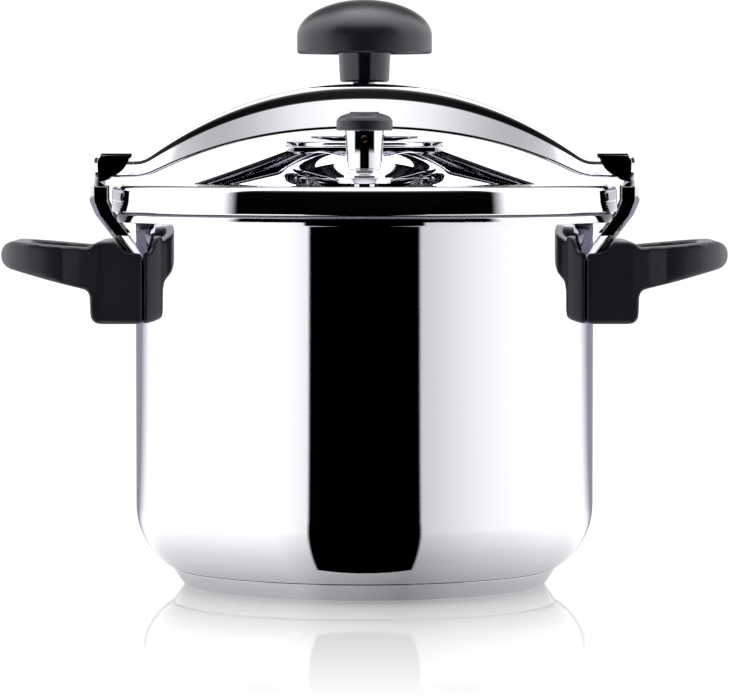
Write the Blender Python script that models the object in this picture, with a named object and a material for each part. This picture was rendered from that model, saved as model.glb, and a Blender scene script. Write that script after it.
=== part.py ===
"""A stovetop pressure cooker closed by a screw-down bridge, one object for each piece.

Lengths are millimetres and become metres in to_metres. +Z is up, +X runs from handle to handle,
-Y is the front, where the working valve stands, and the origin is the middle of the underside.

How it works: the lid slides in from the back, under the two hoods that stand on the pot's sides,
until the bridge's ends meet the cheeks at the hoods' fronts. The knob's spindle turns in the
bridge, and its foot presses the lid's gasket on to the pot's flange while the bridge pulls up on
the hoods.
"""

import math

import bmesh
import bpy
from mathutils import Matrix

MM = 0.001
GAP = 0.3  # between pieces that touch
RUNNING = 0.3  # round a turning or sliding piece
JOIN = 0.15  # how far a joined-on stretch stays inside the sheet's edge
LARGE_STEPS = 48
SMALL_STEPS = 20
TINY_STEPS = 12

# Pot
POT_RADIUS = 110.0
FLANGE_TOP = 179.0
POT_WALL = 1.0
POT_CORNER = 35.0
CORNER_CUT = 4.9  # how much of the corner's lowest stretch the flat floor takes off
FLANGE_WIDTH = 9.0
FLANGE_DEPTH = 4.7
FLANGE_EDGE = 1.2
BASE_HEIGHT = 8.0
BASE_TAPER = 5.8
BASE_SHEET = 0.8

# Lid
LID_SHEET = 1.2
SKIRT_OVERHANG = 2.6
SKIRT_HEIGHT = 13.0
SKIRT_CORNER = 3.0
RIM_WIDTH = 32.3
CONE_HEIGHT = 17.6
CROWN_RADIUS = 34.4
PLATE_RADIUS = 38.0
PLATE_THICKNESS = 2.4
GASKET_WIDTH = 12.4

# Valves on the lid
VALVE_REACH = 66.0
VALVE_BAY = 23.0
BAY_STEP = 0.5
VALVE_TAIL = 4.8
COLLAR_RADIUS = 13.5
COLLAR_HEIGHT = 4.2
VALVE_RADIUS = 8.75
VALVE_HEIGHT = 23.4
VALVE_BORE = 5.6
VALVE_BUSH = 3.0
NEEDLE_RADIUS = 2.2
VALVE_CAP_RADIUS = 13.1
VALVE_CAP_HEIGHT = 8.7
STEAM_HOLE = 1.25
SAFETY_RADIUS = 6.8
SAFETY_HEIGHT = 9.0
SAFETY_BORE = 3.6

# Bridge, spindle and knob
BRIDGE_SHEET = 2.2
BRIDGE_END_RISE = 2.1
BRIDGE_END_HEIGHT = 9.8
BRIDGE_ARCH = 36.0
BRIDGE_EDGE_ARCH = 22.5
BRIDGE_HALF_LENGTH = 119.9
BRIDGE_HALF_WIDTH = 30.0
BRIDGE_END_HALF_WIDTH = 16.5
BRIDGE_ROUNDING = 9.4
BRIDGE_END_ROUNDING = 4.0
SPINDLE_RADIUS = 5.7
NUT_HEIGHT = 8.0
FOOT_RADIUS = 26.0
FOOT_HUB_RADIUS = 9.5
FOOT_HUB_HEIGHT = 8.6
KNOB_RADIUS = 32.4
KNOB_HEIGHT = 25.9
KNOB_SKIRT = 8.6
KNOB_WALL = 3.2
STEM_RADIUS = 12.4
STEM_HEIGHT = 13.6
BADGE_RADIUS = 14.5

# Brackets on the pot's sides
BRACKET_SHEET = 2.0
BRACKET_REACH = 10.6
BRACKET_HALF_WIDTH = 32.0
EDGE_ROLL = 1.2
FRONT_EDGE = 6.2  # how far the bracket's front edge is turned in
BACK_EDGE = 3.8
TAIL_HALF_WIDTH = 29.0
HOOD_HALF_WIDTH = 20.0
HOOD_SHEET = 2.5
HOOD_LIP = 9.8
HOOD_INSET = 2.4
CHEEK_SHEET = 1.8
TAB_LENGTH = 12.4

# Side handles
HANDLE_DROP = 48.2  # from the flange's lip to the underside
HANDLE_REACH = 63.8
HANDLE_HEIGHT = 33.5
HANDLE_HALF_WIDTH = 33.5
GRIP_HALF_WIDTH = 41.0
GRIP_BAR = 12.5
HOUSING_DEPTH = 19.9
SCREW_RADIUS = 2.4
SCREW_HEAD = 4.6
SCREW_SPREAD = 15.0

# Heights and radii that follow from the sizes above
POT_FLOOR = BASE_HEIGHT + GAP
FLANGE_RADIUS = POT_RADIUS + FLANGE_WIDTH
SKIRT_RADIUS = FLANGE_RADIUS + SKIRT_OVERHANG
LID_BOTTOM = FLANGE_TOP + GAP
RIM_TOP = LID_BOTTOM + SKIRT_HEIGHT
CROWN = RIM_TOP + CONE_HEIGHT
CONE_FOOT = SKIRT_RADIUS - RIM_WIDTH
PLATE_TOP = CROWN + GAP + PLATE_THICKNESS
BAY_FLOOR = RIM_TOP + BAY_STEP
BRIDGE_END_BOTTOM = RIM_TOP + BRIDGE_END_RISE
BRIDGE_END_TOP = BRIDGE_END_BOTTOM + BRIDGE_END_HEIGHT
BRIDGE_TOP = BRIDGE_END_TOP + BRIDGE_ARCH
FOOT_BOTTOM = PLATE_TOP + GAP
STEM_BOTTOM = BRIDGE_TOP + 1.0
KNOB_BOTTOM = STEM_BOTTOM + STEM_HEIGHT
KNOB_TOP = KNOB_BOTTOM + KNOB_HEIGHT
HOOD_UNDERSIDE = BRIDGE_END_TOP + GAP
HOOD_TOP = HOOD_UNDERSIDE + HOOD_SHEET
BRACKET_RADIUS = SKIRT_RADIUS + BRACKET_REACH
TAIL_RADIUS = POT_RADIUS + GAP + BRACKET_SHEET
HANDLE_BOTTOM = FLANGE_TOP - FLANGE_DEPTH - HANDLE_DROP
HANDLE_TOP = HANDLE_BOTTOM + HANDLE_HEIGHT
TAB_TOP = HANDLE_BOTTOM + 11.3
SCREW_SEAT = HANDLE_BOTTOM + 4.2

FINISHES = {
    "steel": ((0.80, 0.80, 0.82), 0.12, 1.0),
    "dull_steel": ((0.62, 0.62, 0.64), 0.35, 1.0),
    "aluminium": ((0.75, 0.76, 0.78), 0.45, 1.0),
    "black_phenolic": ((0.02, 0.02, 0.022), 0.38, 0.0),
    "gloss_phenolic": ((0.012, 0.012, 0.014), 0.15, 0.0),
    "silicone": ((0.55, 0.56, 0.58), 0.6, 0.0),
    "brass": ((0.70, 0.52, 0.24), 0.3, 1.0),
    "red_plastic": ((0.55, 0.04, 0.03), 0.4, 0.0),
}


def clear_scene():
    for obj in list(bpy.data.objects):
        bpy.data.objects.remove(obj)


def material(finish):
    """The Principled material of that finish, made the first time that it is asked for."""
    found = bpy.data.materials.get(finish)
    if found:
        return found
    colour, roughness, metallic = FINISHES[finish]
    made = bpy.data.materials.new(finish)
    made.use_nodes = True
    shader = made.node_tree.nodes["Principled BSDF"]
    shader.inputs["Base Color"].default_value = (*colour, 1.0)
    shader.inputs["Roughness"].default_value = roughness
    shader.inputs["Metallic"].default_value = metallic
    made.diffuse_color = (*colour, 1.0)
    return made


def to_metres(place):
    return tuple(value * MM for value in place)


def finished(name, bm, finish, at=(0, 0, 0), parent=None):
    """An object from a bmesh in millimetres, with its faces pointing out and round faces smooth."""
    bmesh.ops.remove_doubles(bm, verts=bm.verts, dist=1e-4)
    bmesh.ops.recalc_face_normals(bm, faces=bm.faces)
    bmesh.ops.transform(bm, matrix=Matrix.Scale(MM, 4), verts=bm.verts)
    mesh = bpy.data.meshes.new(name)
    bm.to_mesh(mesh)
    bm.free()
    mesh.shade_smooth()
    mesh.set_sharp_from_angle(angle=math.radians(35))
    mesh.materials.append(material(finish))
    obj = bpy.data.objects.new(name, mesh)
    obj.location = to_metres(at)
    obj.parent = parent
    bpy.context.collection.objects.link(obj)
    return obj


def frame_empty(name, at=(0, 0, 0), turn=0.0):
    """An empty that a group of pieces is parented to."""
    empty = bpy.data.objects.new(name, None)
    empty.location = to_metres(at)
    empty.rotation_euler = (0, 0, turn)
    bpy.context.collection.objects.link(empty)
    return empty


def arc(centre, radius, start, end, count):
    """Points on an arc, from start to end in degrees. radius may be a pair, for an ellipse."""
    across, up = radius if isinstance(radius, tuple) else (radius, radius)
    points = []
    for i in range(count + 1):
        angle = math.radians(start + (end - start) * i / count)
        points.append((centre[0] + across * math.cos(angle), centre[1] + up * math.sin(angle)))
    return points


def turned(name, outline, finish, steps=SMALL_STEPS, at=(0, 0, 0), parent=None):
    """A turned piece. The outline's points are (radius, height). It is closed, as a ring's section
    is, unless it starts and ends on the axis."""
    bm = bmesh.new()
    verts = [bm.verts.new((radius, 0, height)) for radius, height in outline]
    edges = [bm.edges.new(pair) for pair in zip(verts, verts[1:])]
    if outline[0][0] > 0 or outline[-1][0] > 0:
        edges.append(bm.edges.new((verts[-1], verts[0])))
    bmesh.ops.spin(
        bm,
        geom=verts + edges,
        cent=(0, 0, 0),
        axis=(0, 0, 1),
        angle=math.tau,
        steps=steps,
        use_merge=True,
    )
    return finished(name, bm, finish, at, parent)


def rod(name, radius, low, high, finish="steel", steps=SMALL_STEPS, at=(0, 0, 0), parent=None):
    return turned(name, [(0, high), (radius, high), (radius, low), (0, low)], finish, steps, at, parent)


def lofted(name, sections, finish, at=(0, 0, 0), parent=None, sheet=False):
    """A solid through closed sections, each a list of as many (x, y, z) points. On a sheet, a
    section is one side's points and then the other side's, back again, and an end may be curved."""
    bm = bmesh.new()
    loops = [[bm.verts.new(point) for point in section] for section in sections]
    count = len(loops[0])
    for near, far in zip(loops, loops[1:]):
        for i in range(count):
            j = (i + 1) % count
            bm.faces.new((near[i], near[j], far[j], far[i]))
    for end in (loops[0], list(reversed(loops[-1]))):
        if not sheet:
            bm.faces.new(end)
            continue
        for i in range(count // 2 - 1):
            bm.faces.new((end[i], end[i + 1], end[count - 2 - i], end[count - 1 - i]))
    return finished(name, bm, finish, at, parent)


def side_prism(name, outline, low, high, finish="steel", parent=None):
    """An outline of (x, z) points, extruded along Y."""
    sections = [[(x, y, z) for x, z in outline] for y in (low, high)]
    return lofted(name, sections, finish, parent=parent)


def plan_prism(name, outline, low, high, finish="steel", parent=None):
    """An outline of (x, y) points, extruded along Z."""
    sections = [[(x, y, z) for x, y in outline] for z in (low, high)]
    return lofted(name, sections, finish, parent=parent)


def combine(target, tool, operation="DIFFERENCE"):
    """Cuts target by tool, joins them or keeps what they share, and hides the tool."""
    modifier = target.modifiers.new(tool.name, "BOOLEAN")
    modifier.operation = operation
    modifier.solver = "EXACT"
    modifier.object = tool
    tool.hide_render = True
    tool.display_type = "WIRE"


def hexagon_nut(name, across_flats, low, high, bore, finish, at=(0, 0, 0), parent=None):
    """A nut whose bore clears its screw, with its top and bottom corners turned off."""
    corner = across_flats / 2 / math.cos(math.pi / 6)
    chamfer = 0.12 * (high - low)
    inset = corner - 0.16 * (corner - bore)
    sections = []
    for radius, height in ((inset, low), (corner, low + chamfer), (corner, high - chamfer), (inset, high)):
        sections.append(
            [
                (radius * math.cos(math.tau * i / 6), radius * math.sin(math.tau * i / 6), height)
                for i in range(6)
            ]
        )
    nut = lofted(name, sections, finish, at, parent)
    hole = rod(name + "_bore", bore, low - 1, high + 1, steps=TINY_STEPS, at=at, parent=parent)
    combine(nut, hole)
    return nut


def coil_spring(name, radius, wire, low, high, turns, finish, at=(0, 0, 0), parent=None):
    """A compression spring with its ends closed, as a bevelled curve."""
    points_per_turn = 9
    closed_turn = 0.4  # at each end, where the wire rises only by its own thickness
    closed_slope = 2.3 * wire
    first, last = low + wire, high - wire
    open_rise = last - first - 2 * closed_turn * closed_slope
    count = int(turns * points_per_turn)
    curve = bpy.data.curves.new(name, "CURVE")
    curve.dimensions = "3D"
    curve.bevel_depth = wire * MM
    curve.bevel_resolution = 0
    curve.use_fill_caps = True
    spline = curve.splines.new("POLY")
    spline.points.add(count)
    for i, point in enumerate(spline.points):
        turn = turns * i / count
        in_closed = min(turn, closed_turn) + max(0.0, turn - turns + closed_turn)
        share = min(1.0, max(0.0, (turn - closed_turn) / (turns - 2 * closed_turn)))
        angle = math.tau * turn
        point.co = (
            radius * math.cos(angle) * MM,
            radius * math.sin(angle) * MM,
            (first + in_closed * closed_slope + share * open_rise) * MM,
            1.0,
        )
    curve.materials.append(material(finish))
    spring = bpy.data.objects.new(name, curve)
    spring.location = to_metres(at)
    spring.parent = parent
    bpy.context.collection.objects.link(spring)
    return spring


# ---------------------------------------------------------------- pot and base


def corner_arc(inset, low):
    """The pot's bottom corner, from the height low up to the straight wall, inset from outside."""
    centre = (POT_RADIUS - POT_CORNER, low_of_wall())
    radius = POT_CORNER - inset
    start = -math.degrees(math.asin(min(1.0, (centre[1] - low) / radius)))
    return arc(centre, radius, start, 0, 4)


def low_of_wall():
    """The height where the pot's corner becomes its straight wall."""
    return POT_FLOOR + POT_CORNER - CORNER_CUT


def make_pot():
    floor = POT_FLOOR
    outer_bend, lip_bend = 3.0, 1.6
    flange_low = FLANGE_TOP - FLANGE_EDGE
    lip_bottom = FLANGE_TOP - FLANGE_DEPTH
    inner_wall = POT_RADIUS - POT_WALL
    inside = [(0, floor + POT_WALL)] + corner_arc(POT_WALL, floor + POT_WALL)
    inside += arc((inner_wall + outer_bend, FLANGE_TOP - outer_bend), outer_bend, 180, 90, 2)
    edge = arc((FLANGE_RADIUS - lip_bend, FLANGE_TOP - lip_bend), lip_bend, 90, 0, 2)
    edge += [(FLANGE_RADIUS, lip_bottom), (FLANGE_RADIUS - POT_WALL, lip_bottom)]
    edge += [(FLANGE_RADIUS - POT_WALL, flange_low - 0.6), (FLANGE_RADIUS - POT_WALL - 0.6, flange_low)]
    neck_bend = outer_bend - POT_WALL
    outside = arc((POT_RADIUS + neck_bend, flange_low - neck_bend), neck_bend, 90, 180, 2)
    outside += list(reversed(corner_arc(0, floor)))
    outside += [(0, floor)]
    turned("pot_body", inside + edge + outside, "steel", LARGE_STEPS)


def base_radius(height):
    """The outside of the base shell, which narrows towards the table."""
    drop = low_of_wall() - POT_FLOOR
    top = POT_RADIUS - POT_CORNER + math.sqrt(POT_CORNER**2 - drop**2) - GAP
    return top - BASE_TAPER * (1 - height / BASE_HEIGHT)


def make_base():
    bend = 1.2
    low_radius = base_radius(bend)
    shell = [(0, 0), (low_radius - bend, 0), (low_radius - 0.3 * bend, 0.3 * bend), (low_radius, bend)]
    shell += [(base_radius(BASE_HEIGHT), BASE_HEIGHT), (base_radius(BASE_HEIGHT) - BASE_SHEET, BASE_HEIGHT)]
    shell += [(low_radius - BASE_SHEET, bend + 0.2), (low_radius - bend - 0.4, BASE_SHEET), (0, BASE_SHEET)]
    turned("base_shell", shell, "steel", LARGE_STEPS)
    low, high = BASE_SHEET + GAP, BASE_HEIGHT - GAP
    core = [(0, high), (base_radius(high) - BASE_SHEET - GAP, high)]
    core += [(low_radius - BASE_SHEET - 2 * GAP, bend + 0.8), (low_radius - bend - 2 * BASE_SHEET, low)]
    core += [(0, low)]
    turned("base_core", core, "aluminium", LARGE_STEPS)


# ---------------------------------------------------------------- lid and gasket


def lid_surface(inset):
    """The lid's outer face, or a face inset under it, from the axis to the foot of the skirt."""
    slope = math.atan2(CONE_HEIGHT, CONE_FOOT - CROWN_RADIUS)
    shift = inset * math.tan(slope / 2)
    face = [(0, CROWN - inset), (CROWN_RADIUS - shift, CROWN - inset)]
    face += [(CONE_FOOT - shift, RIM_TOP - inset)]
    corner = (SKIRT_RADIUS - SKIRT_CORNER, RIM_TOP - SKIRT_CORNER)
    return face + arc(corner, SKIRT_CORNER - inset, 90, 0, 2)


def lid_block(name, inset, low):
    """Everything under the lid's face, with a bay cut down to the rim's level for each valve."""
    outline = lid_surface(inset) + [(SKIRT_RADIUS - inset, low), (0, low)]
    block = turned(name, outline, "steel", LARGE_STEPS)
    for side in (-1, 1):
        bay = rod(
            f"{name}_bay_{side}",
            VALVE_BAY + inset,
            BAY_FLOOR - inset,
            CROWN + 20,
            at=(0, side * VALVE_REACH, 0),
            steps=28,
        )
        combine(block, bay)
    return block


def make_lid():
    shell = lid_block("lid_shell", 0, LID_BOTTOM)
    combine(shell, lid_block("lid_hollow", LID_SHEET, LID_BOTTOM - 20))
    for side in (-1, 1):
        hole = rod(
            f"valve_hole_{side}",
            VALVE_TAIL + 2 * GAP,
            BAY_FLOOR - 10,
            BAY_FLOOR + 10,
            at=(0, side * VALVE_REACH, 0),
        )
        combine(shell, hole)
    low, high = CROWN + GAP, PLATE_TOP
    plate = [(0, high), (PLATE_RADIUS - 0.6, high), (PLATE_RADIUS, high - 0.6), (PLATE_RADIUS, low + 0.4)]
    plate += [(PLATE_RADIUS - 0.4, low), (0, low)]
    turned("lid_plate", plate, "steel", 32)


def make_gasket():
    """A channel ring whose inner lip the steam presses against the pot's flange."""
    outer = SKIRT_RADIUS - LID_SHEET - GAP
    inner = outer - GASKET_WIDTH
    low, high = LID_BOTTOM, RIM_TOP - LID_SHEET - GAP
    middle = (low + high) / 2
    chamfer = SKIRT_CORNER - 0.6
    section = [(inner, high), (outer - chamfer, high), (outer, high - chamfer), (outer, low)]
    section += [(inner, low), (inner, middle - 2.0), (inner + 6.5, middle - 0.8)]
    section += [(inner + 6.5, middle + 0.8), (inner, middle + 2.0)]
    turned("gasket", list(reversed(section)), "silicone", LARGE_STEPS)


# ---------------------------------------------------------------- valves


def make_working_valve():
    """The spring-loaded valve at the front. Its cap lifts to let the steam out by hand."""
    frame = frame_empty("working_valve_frame", (0, -VALVE_REACH, 0))
    collar_low = BAY_FLOOR + GAP
    collar_high = collar_low + COLLAR_HEIGHT
    collar = arc((COLLAR_RADIUS - 1.6, collar_high - 2.0), (1.6, 2.0), 90, 0, 2)
    collar += [(COLLAR_RADIUS - 1.0, collar_low), (VALVE_TAIL + GAP, collar_low)]
    collar += [(VALVE_TAIL + GAP, collar_high)]
    turned("valve_collar", collar, "steel", parent=frame)

    foot = collar_high + GAP
    top = foot + VALVE_HEIGHT
    under_lid = BAY_FLOOR - LID_SHEET
    tail_end = under_lid - 9.0
    seat = foot + 2.6
    steam_way = 1.9
    body = [(VALVE_BORE, top), (VALVE_RADIUS - 0.5, top), (VALVE_RADIUS, top - 0.5)]
    body += [(VALVE_RADIUS, foot + 2.6), (VALVE_RADIUS - 1.3, foot + 1.6), (VALVE_RADIUS - 0.4, foot + 0.6)]
    body += [(VALVE_RADIUS - 0.9, foot), (VALVE_TAIL, foot), (VALVE_TAIL, tail_end)]
    body += [(steam_way, tail_end), (steam_way, seat), (VALVE_BORE, seat)]
    tube = turned("valve_body", body, "steel", parent=frame)
    for turn in (0, 90):
        drill = rod(f"steam_drill_{turn}", STEAM_HOLE, -20, 20, steps=TINY_STEPS, parent=frame)
        drill.rotation_euler = (math.radians(90), 0, math.radians(turn))
        drill.location = (0, 0, (top - 6.8) * MM)
        combine(tube, drill)

    bush = [(VALVE_BORE - GAP, top), (VALVE_BORE - GAP, top - VALVE_BUSH)]
    bush += [(NEEDLE_RADIUS + RUNNING, top - VALVE_BUSH), (NEEDLE_RADIUS + RUNNING, top)]
    turned("valve_bush", bush, "dull_steel", steps=TINY_STEPS, parent=frame)
    stem, needle_top = NEEDLE_RADIUS, top + VALVE_CAP_HEIGHT - 5.6
    shoulder = top - 13.5
    needle = [(0, needle_top), (stem, needle_top), (stem, shoulder), (VALVE_BORE - RUNNING, shoulder)]
    needle += [(VALVE_BORE - RUNNING, shoulder - 2.0), (stem, shoulder - 3.4), (stem, seat + 2.4)]
    needle += [(0, seat + GAP)]
    turned("valve_needle", needle, "brass", parent=frame)
    cap_low = top - 3.0
    cover = top + 1.2
    cap = [(0, cap_low + VALVE_CAP_HEIGHT)]
    dome = arc((0, cap_low + 4.9), (VALVE_CAP_RADIUS - 0.4, VALVE_CAP_HEIGHT - 4.9), 75, 8, 3)
    cap += dome + [(VALVE_CAP_RADIUS, cap_low + 4.6), (VALVE_CAP_RADIUS, cap_low + 0.4)]
    cap += [(VALVE_CAP_RADIUS - 0.4, cap_low), (VALVE_RADIUS + 0.5, cap_low)]
    cap += [(VALVE_RADIUS + 0.5, cover), (stem + GAP, cover), (stem + GAP, needle_top + GAP)]
    cap += [(0, needle_top + GAP)]
    turned("valve_cap", cap, "black_phenolic", steps=28, parent=frame)
    coil_spring(
        "valve_spring", 3.9, 0.45, shoulder + GAP, top - VALVE_BUSH - GAP, 6, "dull_steel", parent=frame
    )
    make_seal_and_nut("valve", under_lid, frame)


def make_seal_and_nut(name, under_lid, frame):
    """The washer and nut that hold a valve's tail under the lid."""
    bore = VALVE_TAIL + GAP
    seal_high, seal_low = under_lid - GAP, under_lid - GAP - 1.8
    seal = [(bore, seal_high), (9.6, seal_high), (9.6, seal_low), (bore, seal_low)]
    turned(name + "_seal", seal, "silicone", steps=TINY_STEPS, parent=frame)
    hexagon_nut(name + "_nut", 15.0, seal_low - GAP - 4.6, seal_low - GAP, bore, "dull_steel", parent=frame)


def make_safety_valve():
    """The low valve at the back, whose red pin pops up when the pressure is too high."""
    frame = frame_empty("safety_valve_frame", (0, VALVE_REACH, 0))
    foot = BAY_FLOOR + GAP
    flange = foot + 2.0
    top = foot + SAFETY_HEIGHT
    under_lid = BAY_FLOOR - LID_SHEET
    tail_end = under_lid - 9.0
    pin = 1.7
    body = [(pin + RUNNING, top), (SAFETY_RADIUS - 1.6, top), (SAFETY_RADIUS, top - 1.6)]
    body += [(SAFETY_RADIUS, flange), (SAFETY_RADIUS + 4.0, flange), (SAFETY_RADIUS + 4.0, foot)]
    body += [(VALVE_TAIL, foot), (VALVE_TAIL, tail_end), (SAFETY_BORE - 1.2, tail_end)]
    body += [(SAFETY_BORE - 1.2, tail_end + 1.2), (SAFETY_BORE, tail_end + 1.2)]
    body += [(SAFETY_BORE, top - 1.8), (pin + RUNNING, top - 1.8)]
    turned("safety_valve_body", body, "steel", parent=frame)

    pin_top = top + 0.8
    disc_high = tail_end + 4.0
    popper = [(0, pin_top), (pin - 0.4, pin_top), (pin, pin_top - 0.4), (pin, disc_high)]
    popper += [(SAFETY_BORE - RUNNING, disc_high), (SAFETY_BORE - RUNNING, tail_end + 1.6)]
    popper += [(0, tail_end + 1.6)]
    turned("safety_pin", popper, "red_plastic", steps=TINY_STEPS, parent=frame)
    coil_spring(
        "safety_spring", 2.7, 0.35, disc_high + GAP, top - 1.8 - GAP, 7, "dull_steel", parent=frame
    )
    make_seal_and_nut("safety", under_lid, frame)


# ---------------------------------------------------------------- bridge, spindle and knob


def arch(x, height, reach, power):
    """The bridge's rise at x: an arch that runs out level at its ends."""
    blend = 2.5
    rise = height * (1 - (abs(x) / reach) ** power)
    if rise > blend:
        return rise
    return max(0.0, rise + blend) ** 2 / (4 * blend)


def bridge_section(x, inset):
    """Half of the bridge's section at x, as (y, z) points from its lower edge to its middle."""
    arch_reach = BRIDGE_HALF_LENGTH - 14.4
    lift = arch(x, BRIDGE_ARCH, arch_reach, 2.15)
    top = BRIDGE_END_TOP + lift - inset
    low = BRIDGE_END_BOTTOM + arch(x, BRIDGE_EDGE_ARCH, arch_reach, 2.3)
    share = (1 + math.cos(math.pi * min(1.0, abs(x) / BRIDGE_HALF_LENGTH))) / 2
    width = BRIDGE_END_HALF_WIDTH + (BRIDGE_HALF_WIDTH - BRIDGE_END_HALF_WIDTH) * share - inset
    rounding = BRIDGE_END_ROUNDING + (BRIDGE_ROUNDING - BRIDGE_END_ROUNDING) * share - inset
    side = [(width, low)] + arc((width - rounding, top - rounding), rounding, 0, 90, 3)
    return side + [(0, top)]


def make_bridge():
    stations = 20
    sections = []
    for i in range(stations + 1):
        x = BRIDGE_HALF_LENGTH * (2 * i / stations - 1)
        outer, inner = bridge_section(x, 0), bridge_section(x, BRIDGE_SHEET)
        loop = outer + [(-y, z) for y, z in reversed(outer[:-1])]
        loop += [(-y, z) for y, z in inner] + list(reversed(inner[:-1]))
        sections.append([(x, y, z) for y, z in loop])
    bar = lofted("bridge_bar", sections, "steel", sheet=True)
    shank = SPINDLE_RADIUS + 2.6
    combine(bar, rod("bridge_hole", shank + GAP, BRIDGE_TOP - 12, BRIDGE_TOP + 12))

    bore = SPINDLE_RADIUS + RUNNING
    flange_top = BRIDGE_TOP - BRIDGE_SHEET - BRIDGE_ARCH * 0.004 - 2 * GAP
    flange = SPINDLE_RADIUS + 6.6
    nut = [(bore, BRIDGE_TOP), (shank, BRIDGE_TOP), (shank, flange_top), (flange, flange_top)]
    nut += [(flange, flange_top - NUT_HEIGHT + 1), (flange - 1, flange_top - NUT_HEIGHT)]
    nut += [(bore, flange_top - NUT_HEIGHT)]
    turned("bridge_nut", nut, "dull_steel")


def make_foot_and_spindle():
    """The foot that presses on the lid's plate, and the screw that turns in it."""
    hub_top = FOOT_BOTTOM + FOOT_HUB_HEIGHT
    socket = FOOT_BOTTOM + 1.6
    bore = SPINDLE_RADIUS + RUNNING
    groove, ring_gap = socket + 2.6, 1.6
    foot = [(0, FOOT_BOTTOM), (16.0, FOOT_BOTTOM), (FOOT_RADIUS - 2.2, FOOT_BOTTOM + 0.9)]
    foot += [(FOOT_RADIUS, FOOT_BOTTOM + 1.4), (FOOT_RADIUS, FOOT_BOTTOM + 2.2)]
    foot += [(FOOT_RADIUS - 1.6, FOOT_BOTTOM + 2.3), (15.0, FOOT_BOTTOM + 1.5)]
    foot += [(FOOT_HUB_RADIUS + 1.2, FOOT_BOTTOM + 1.6), (FOOT_HUB_RADIUS, FOOT_BOTTOM + 2.8)]
    foot += [(FOOT_HUB_RADIUS, hub_top - 0.8), (FOOT_HUB_RADIUS - 0.8, hub_top), (bore, hub_top)]
    foot += [(bore, groove + ring_gap + 0.2), (bore + 1.0, groove + ring_gap), (bore + 1.0, groove)]
    foot += [(bore, groove - 0.2), (bore, socket), (0, socket)]
    turned("pressure_foot", foot, "steel", steps=28)

    waist = SPINDLE_RADIUS - 1.2
    neck = 4.0
    shoulder = KNOB_BOTTOM - 2.0
    spindle_top = KNOB_BOTTOM + 16.6
    screw = [(0, spindle_top), (neck - 0.5, spindle_top), (neck, spindle_top - 0.5), (neck, shoulder)]
    screw += [(SPINDLE_RADIUS, shoulder), (SPINDLE_RADIUS, groove + ring_gap), (waist, groove + ring_gap)]
    screw += [(waist, groove), (SPINDLE_RADIUS, groove), (SPINDLE_RADIUS, socket + 1.6)]
    screw += [(SPINDLE_RADIUS - 1.4, socket + GAP), (0, socket + GAP)]
    turned("spindle", screw, "dull_steel")

    low, high = groove + GAP, groove + ring_gap - GAP
    ring = [(waist + GAP, high), (bore + 0.7, high), (bore + 0.7, low), (waist + GAP, low)]
    ring_obj = turned("foot_ring", ring, "dull_steel")
    opening = 2.4
    slot = [(waist - 1, -opening), (bore + 3, -opening), (bore + 3, opening), (waist - 1, opening)]
    combine(ring_obj, plan_prism("ring_slot", slot, low - 1, high + 1))
    return shoulder, neck, spindle_top


def make_knob(shoulder, neck, spindle_top):
    """The hollow knob, the nut in its top that holds the spindle, and the disc over the nut."""
    well_floor = KNOB_BOTTOM + 9.0
    well = 10.4
    dome_low = KNOB_BOTTOM + KNOB_SKIRT
    badge_ledge = BADGE_RADIUS + GAP
    dome_height = KNOB_HEIGHT - KNOB_SKIRT
    ledge_angle = math.degrees(math.acos(badge_ledge / KNOB_RADIUS))
    ledge_low = KNOB_TOP - 2.6
    ceiling = dome_low + 3.0
    knob = arc((0, dome_low), (KNOB_RADIUS, dome_height), ledge_angle, 0, 6)
    knob += [(KNOB_RADIUS, KNOB_BOTTOM + 0.8), (KNOB_RADIUS - 0.8, KNOB_BOTTOM)]
    knob += [(KNOB_RADIUS - KNOB_WALL, KNOB_BOTTOM), (KNOB_RADIUS - KNOB_WALL - 0.4, dome_low)]
    knob += [(KNOB_RADIUS - KNOB_WALL - 3.6, ceiling), (STEM_RADIUS + 0.6, ceiling)]
    knob += [(STEM_RADIUS, KNOB_BOTTOM), (STEM_RADIUS - 0.6, STEM_BOTTOM + 0.7)]
    knob += [(STEM_RADIUS - 1.3, STEM_BOTTOM), (SPINDLE_RADIUS + GAP, STEM_BOTTOM)]
    knob += [(SPINDLE_RADIUS + GAP, shoulder + GAP), (neck + GAP, shoulder + GAP)]
    knob += [(neck + GAP, well_floor), (well, well_floor), (well, ledge_low), (badge_ledge, ledge_low)]
    turned("knob_body", knob, "black_phenolic", steps=32)

    nut_low = well_floor + GAP + 1.2
    washer = [(neck + GAP, nut_low - GAP), (well - 1, nut_low - GAP), (well - 1, well_floor + GAP)]
    washer += [(neck + GAP, well_floor + GAP)]
    turned("knob_washer", washer, "dull_steel", steps=TINY_STEPS)
    hexagon_nut("knob_nut", 13.0, nut_low, spindle_top - 1.0, neck + GAP, "dull_steel")

    disc_low = ledge_low + GAP
    badge = [(0, KNOB_TOP)]
    badge_edge = math.degrees(math.acos(BADGE_RADIUS / KNOB_RADIUS))
    badge += arc((0, dome_low), (KNOB_RADIUS, dome_height), 88, badge_edge, 4)
    badge += [(BADGE_RADIUS, disc_low), (0, disc_low)]
    turned("knob_disc", badge, "gloss_phenolic", steps=32)


# ---------------------------------------------------------------- brackets


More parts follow.
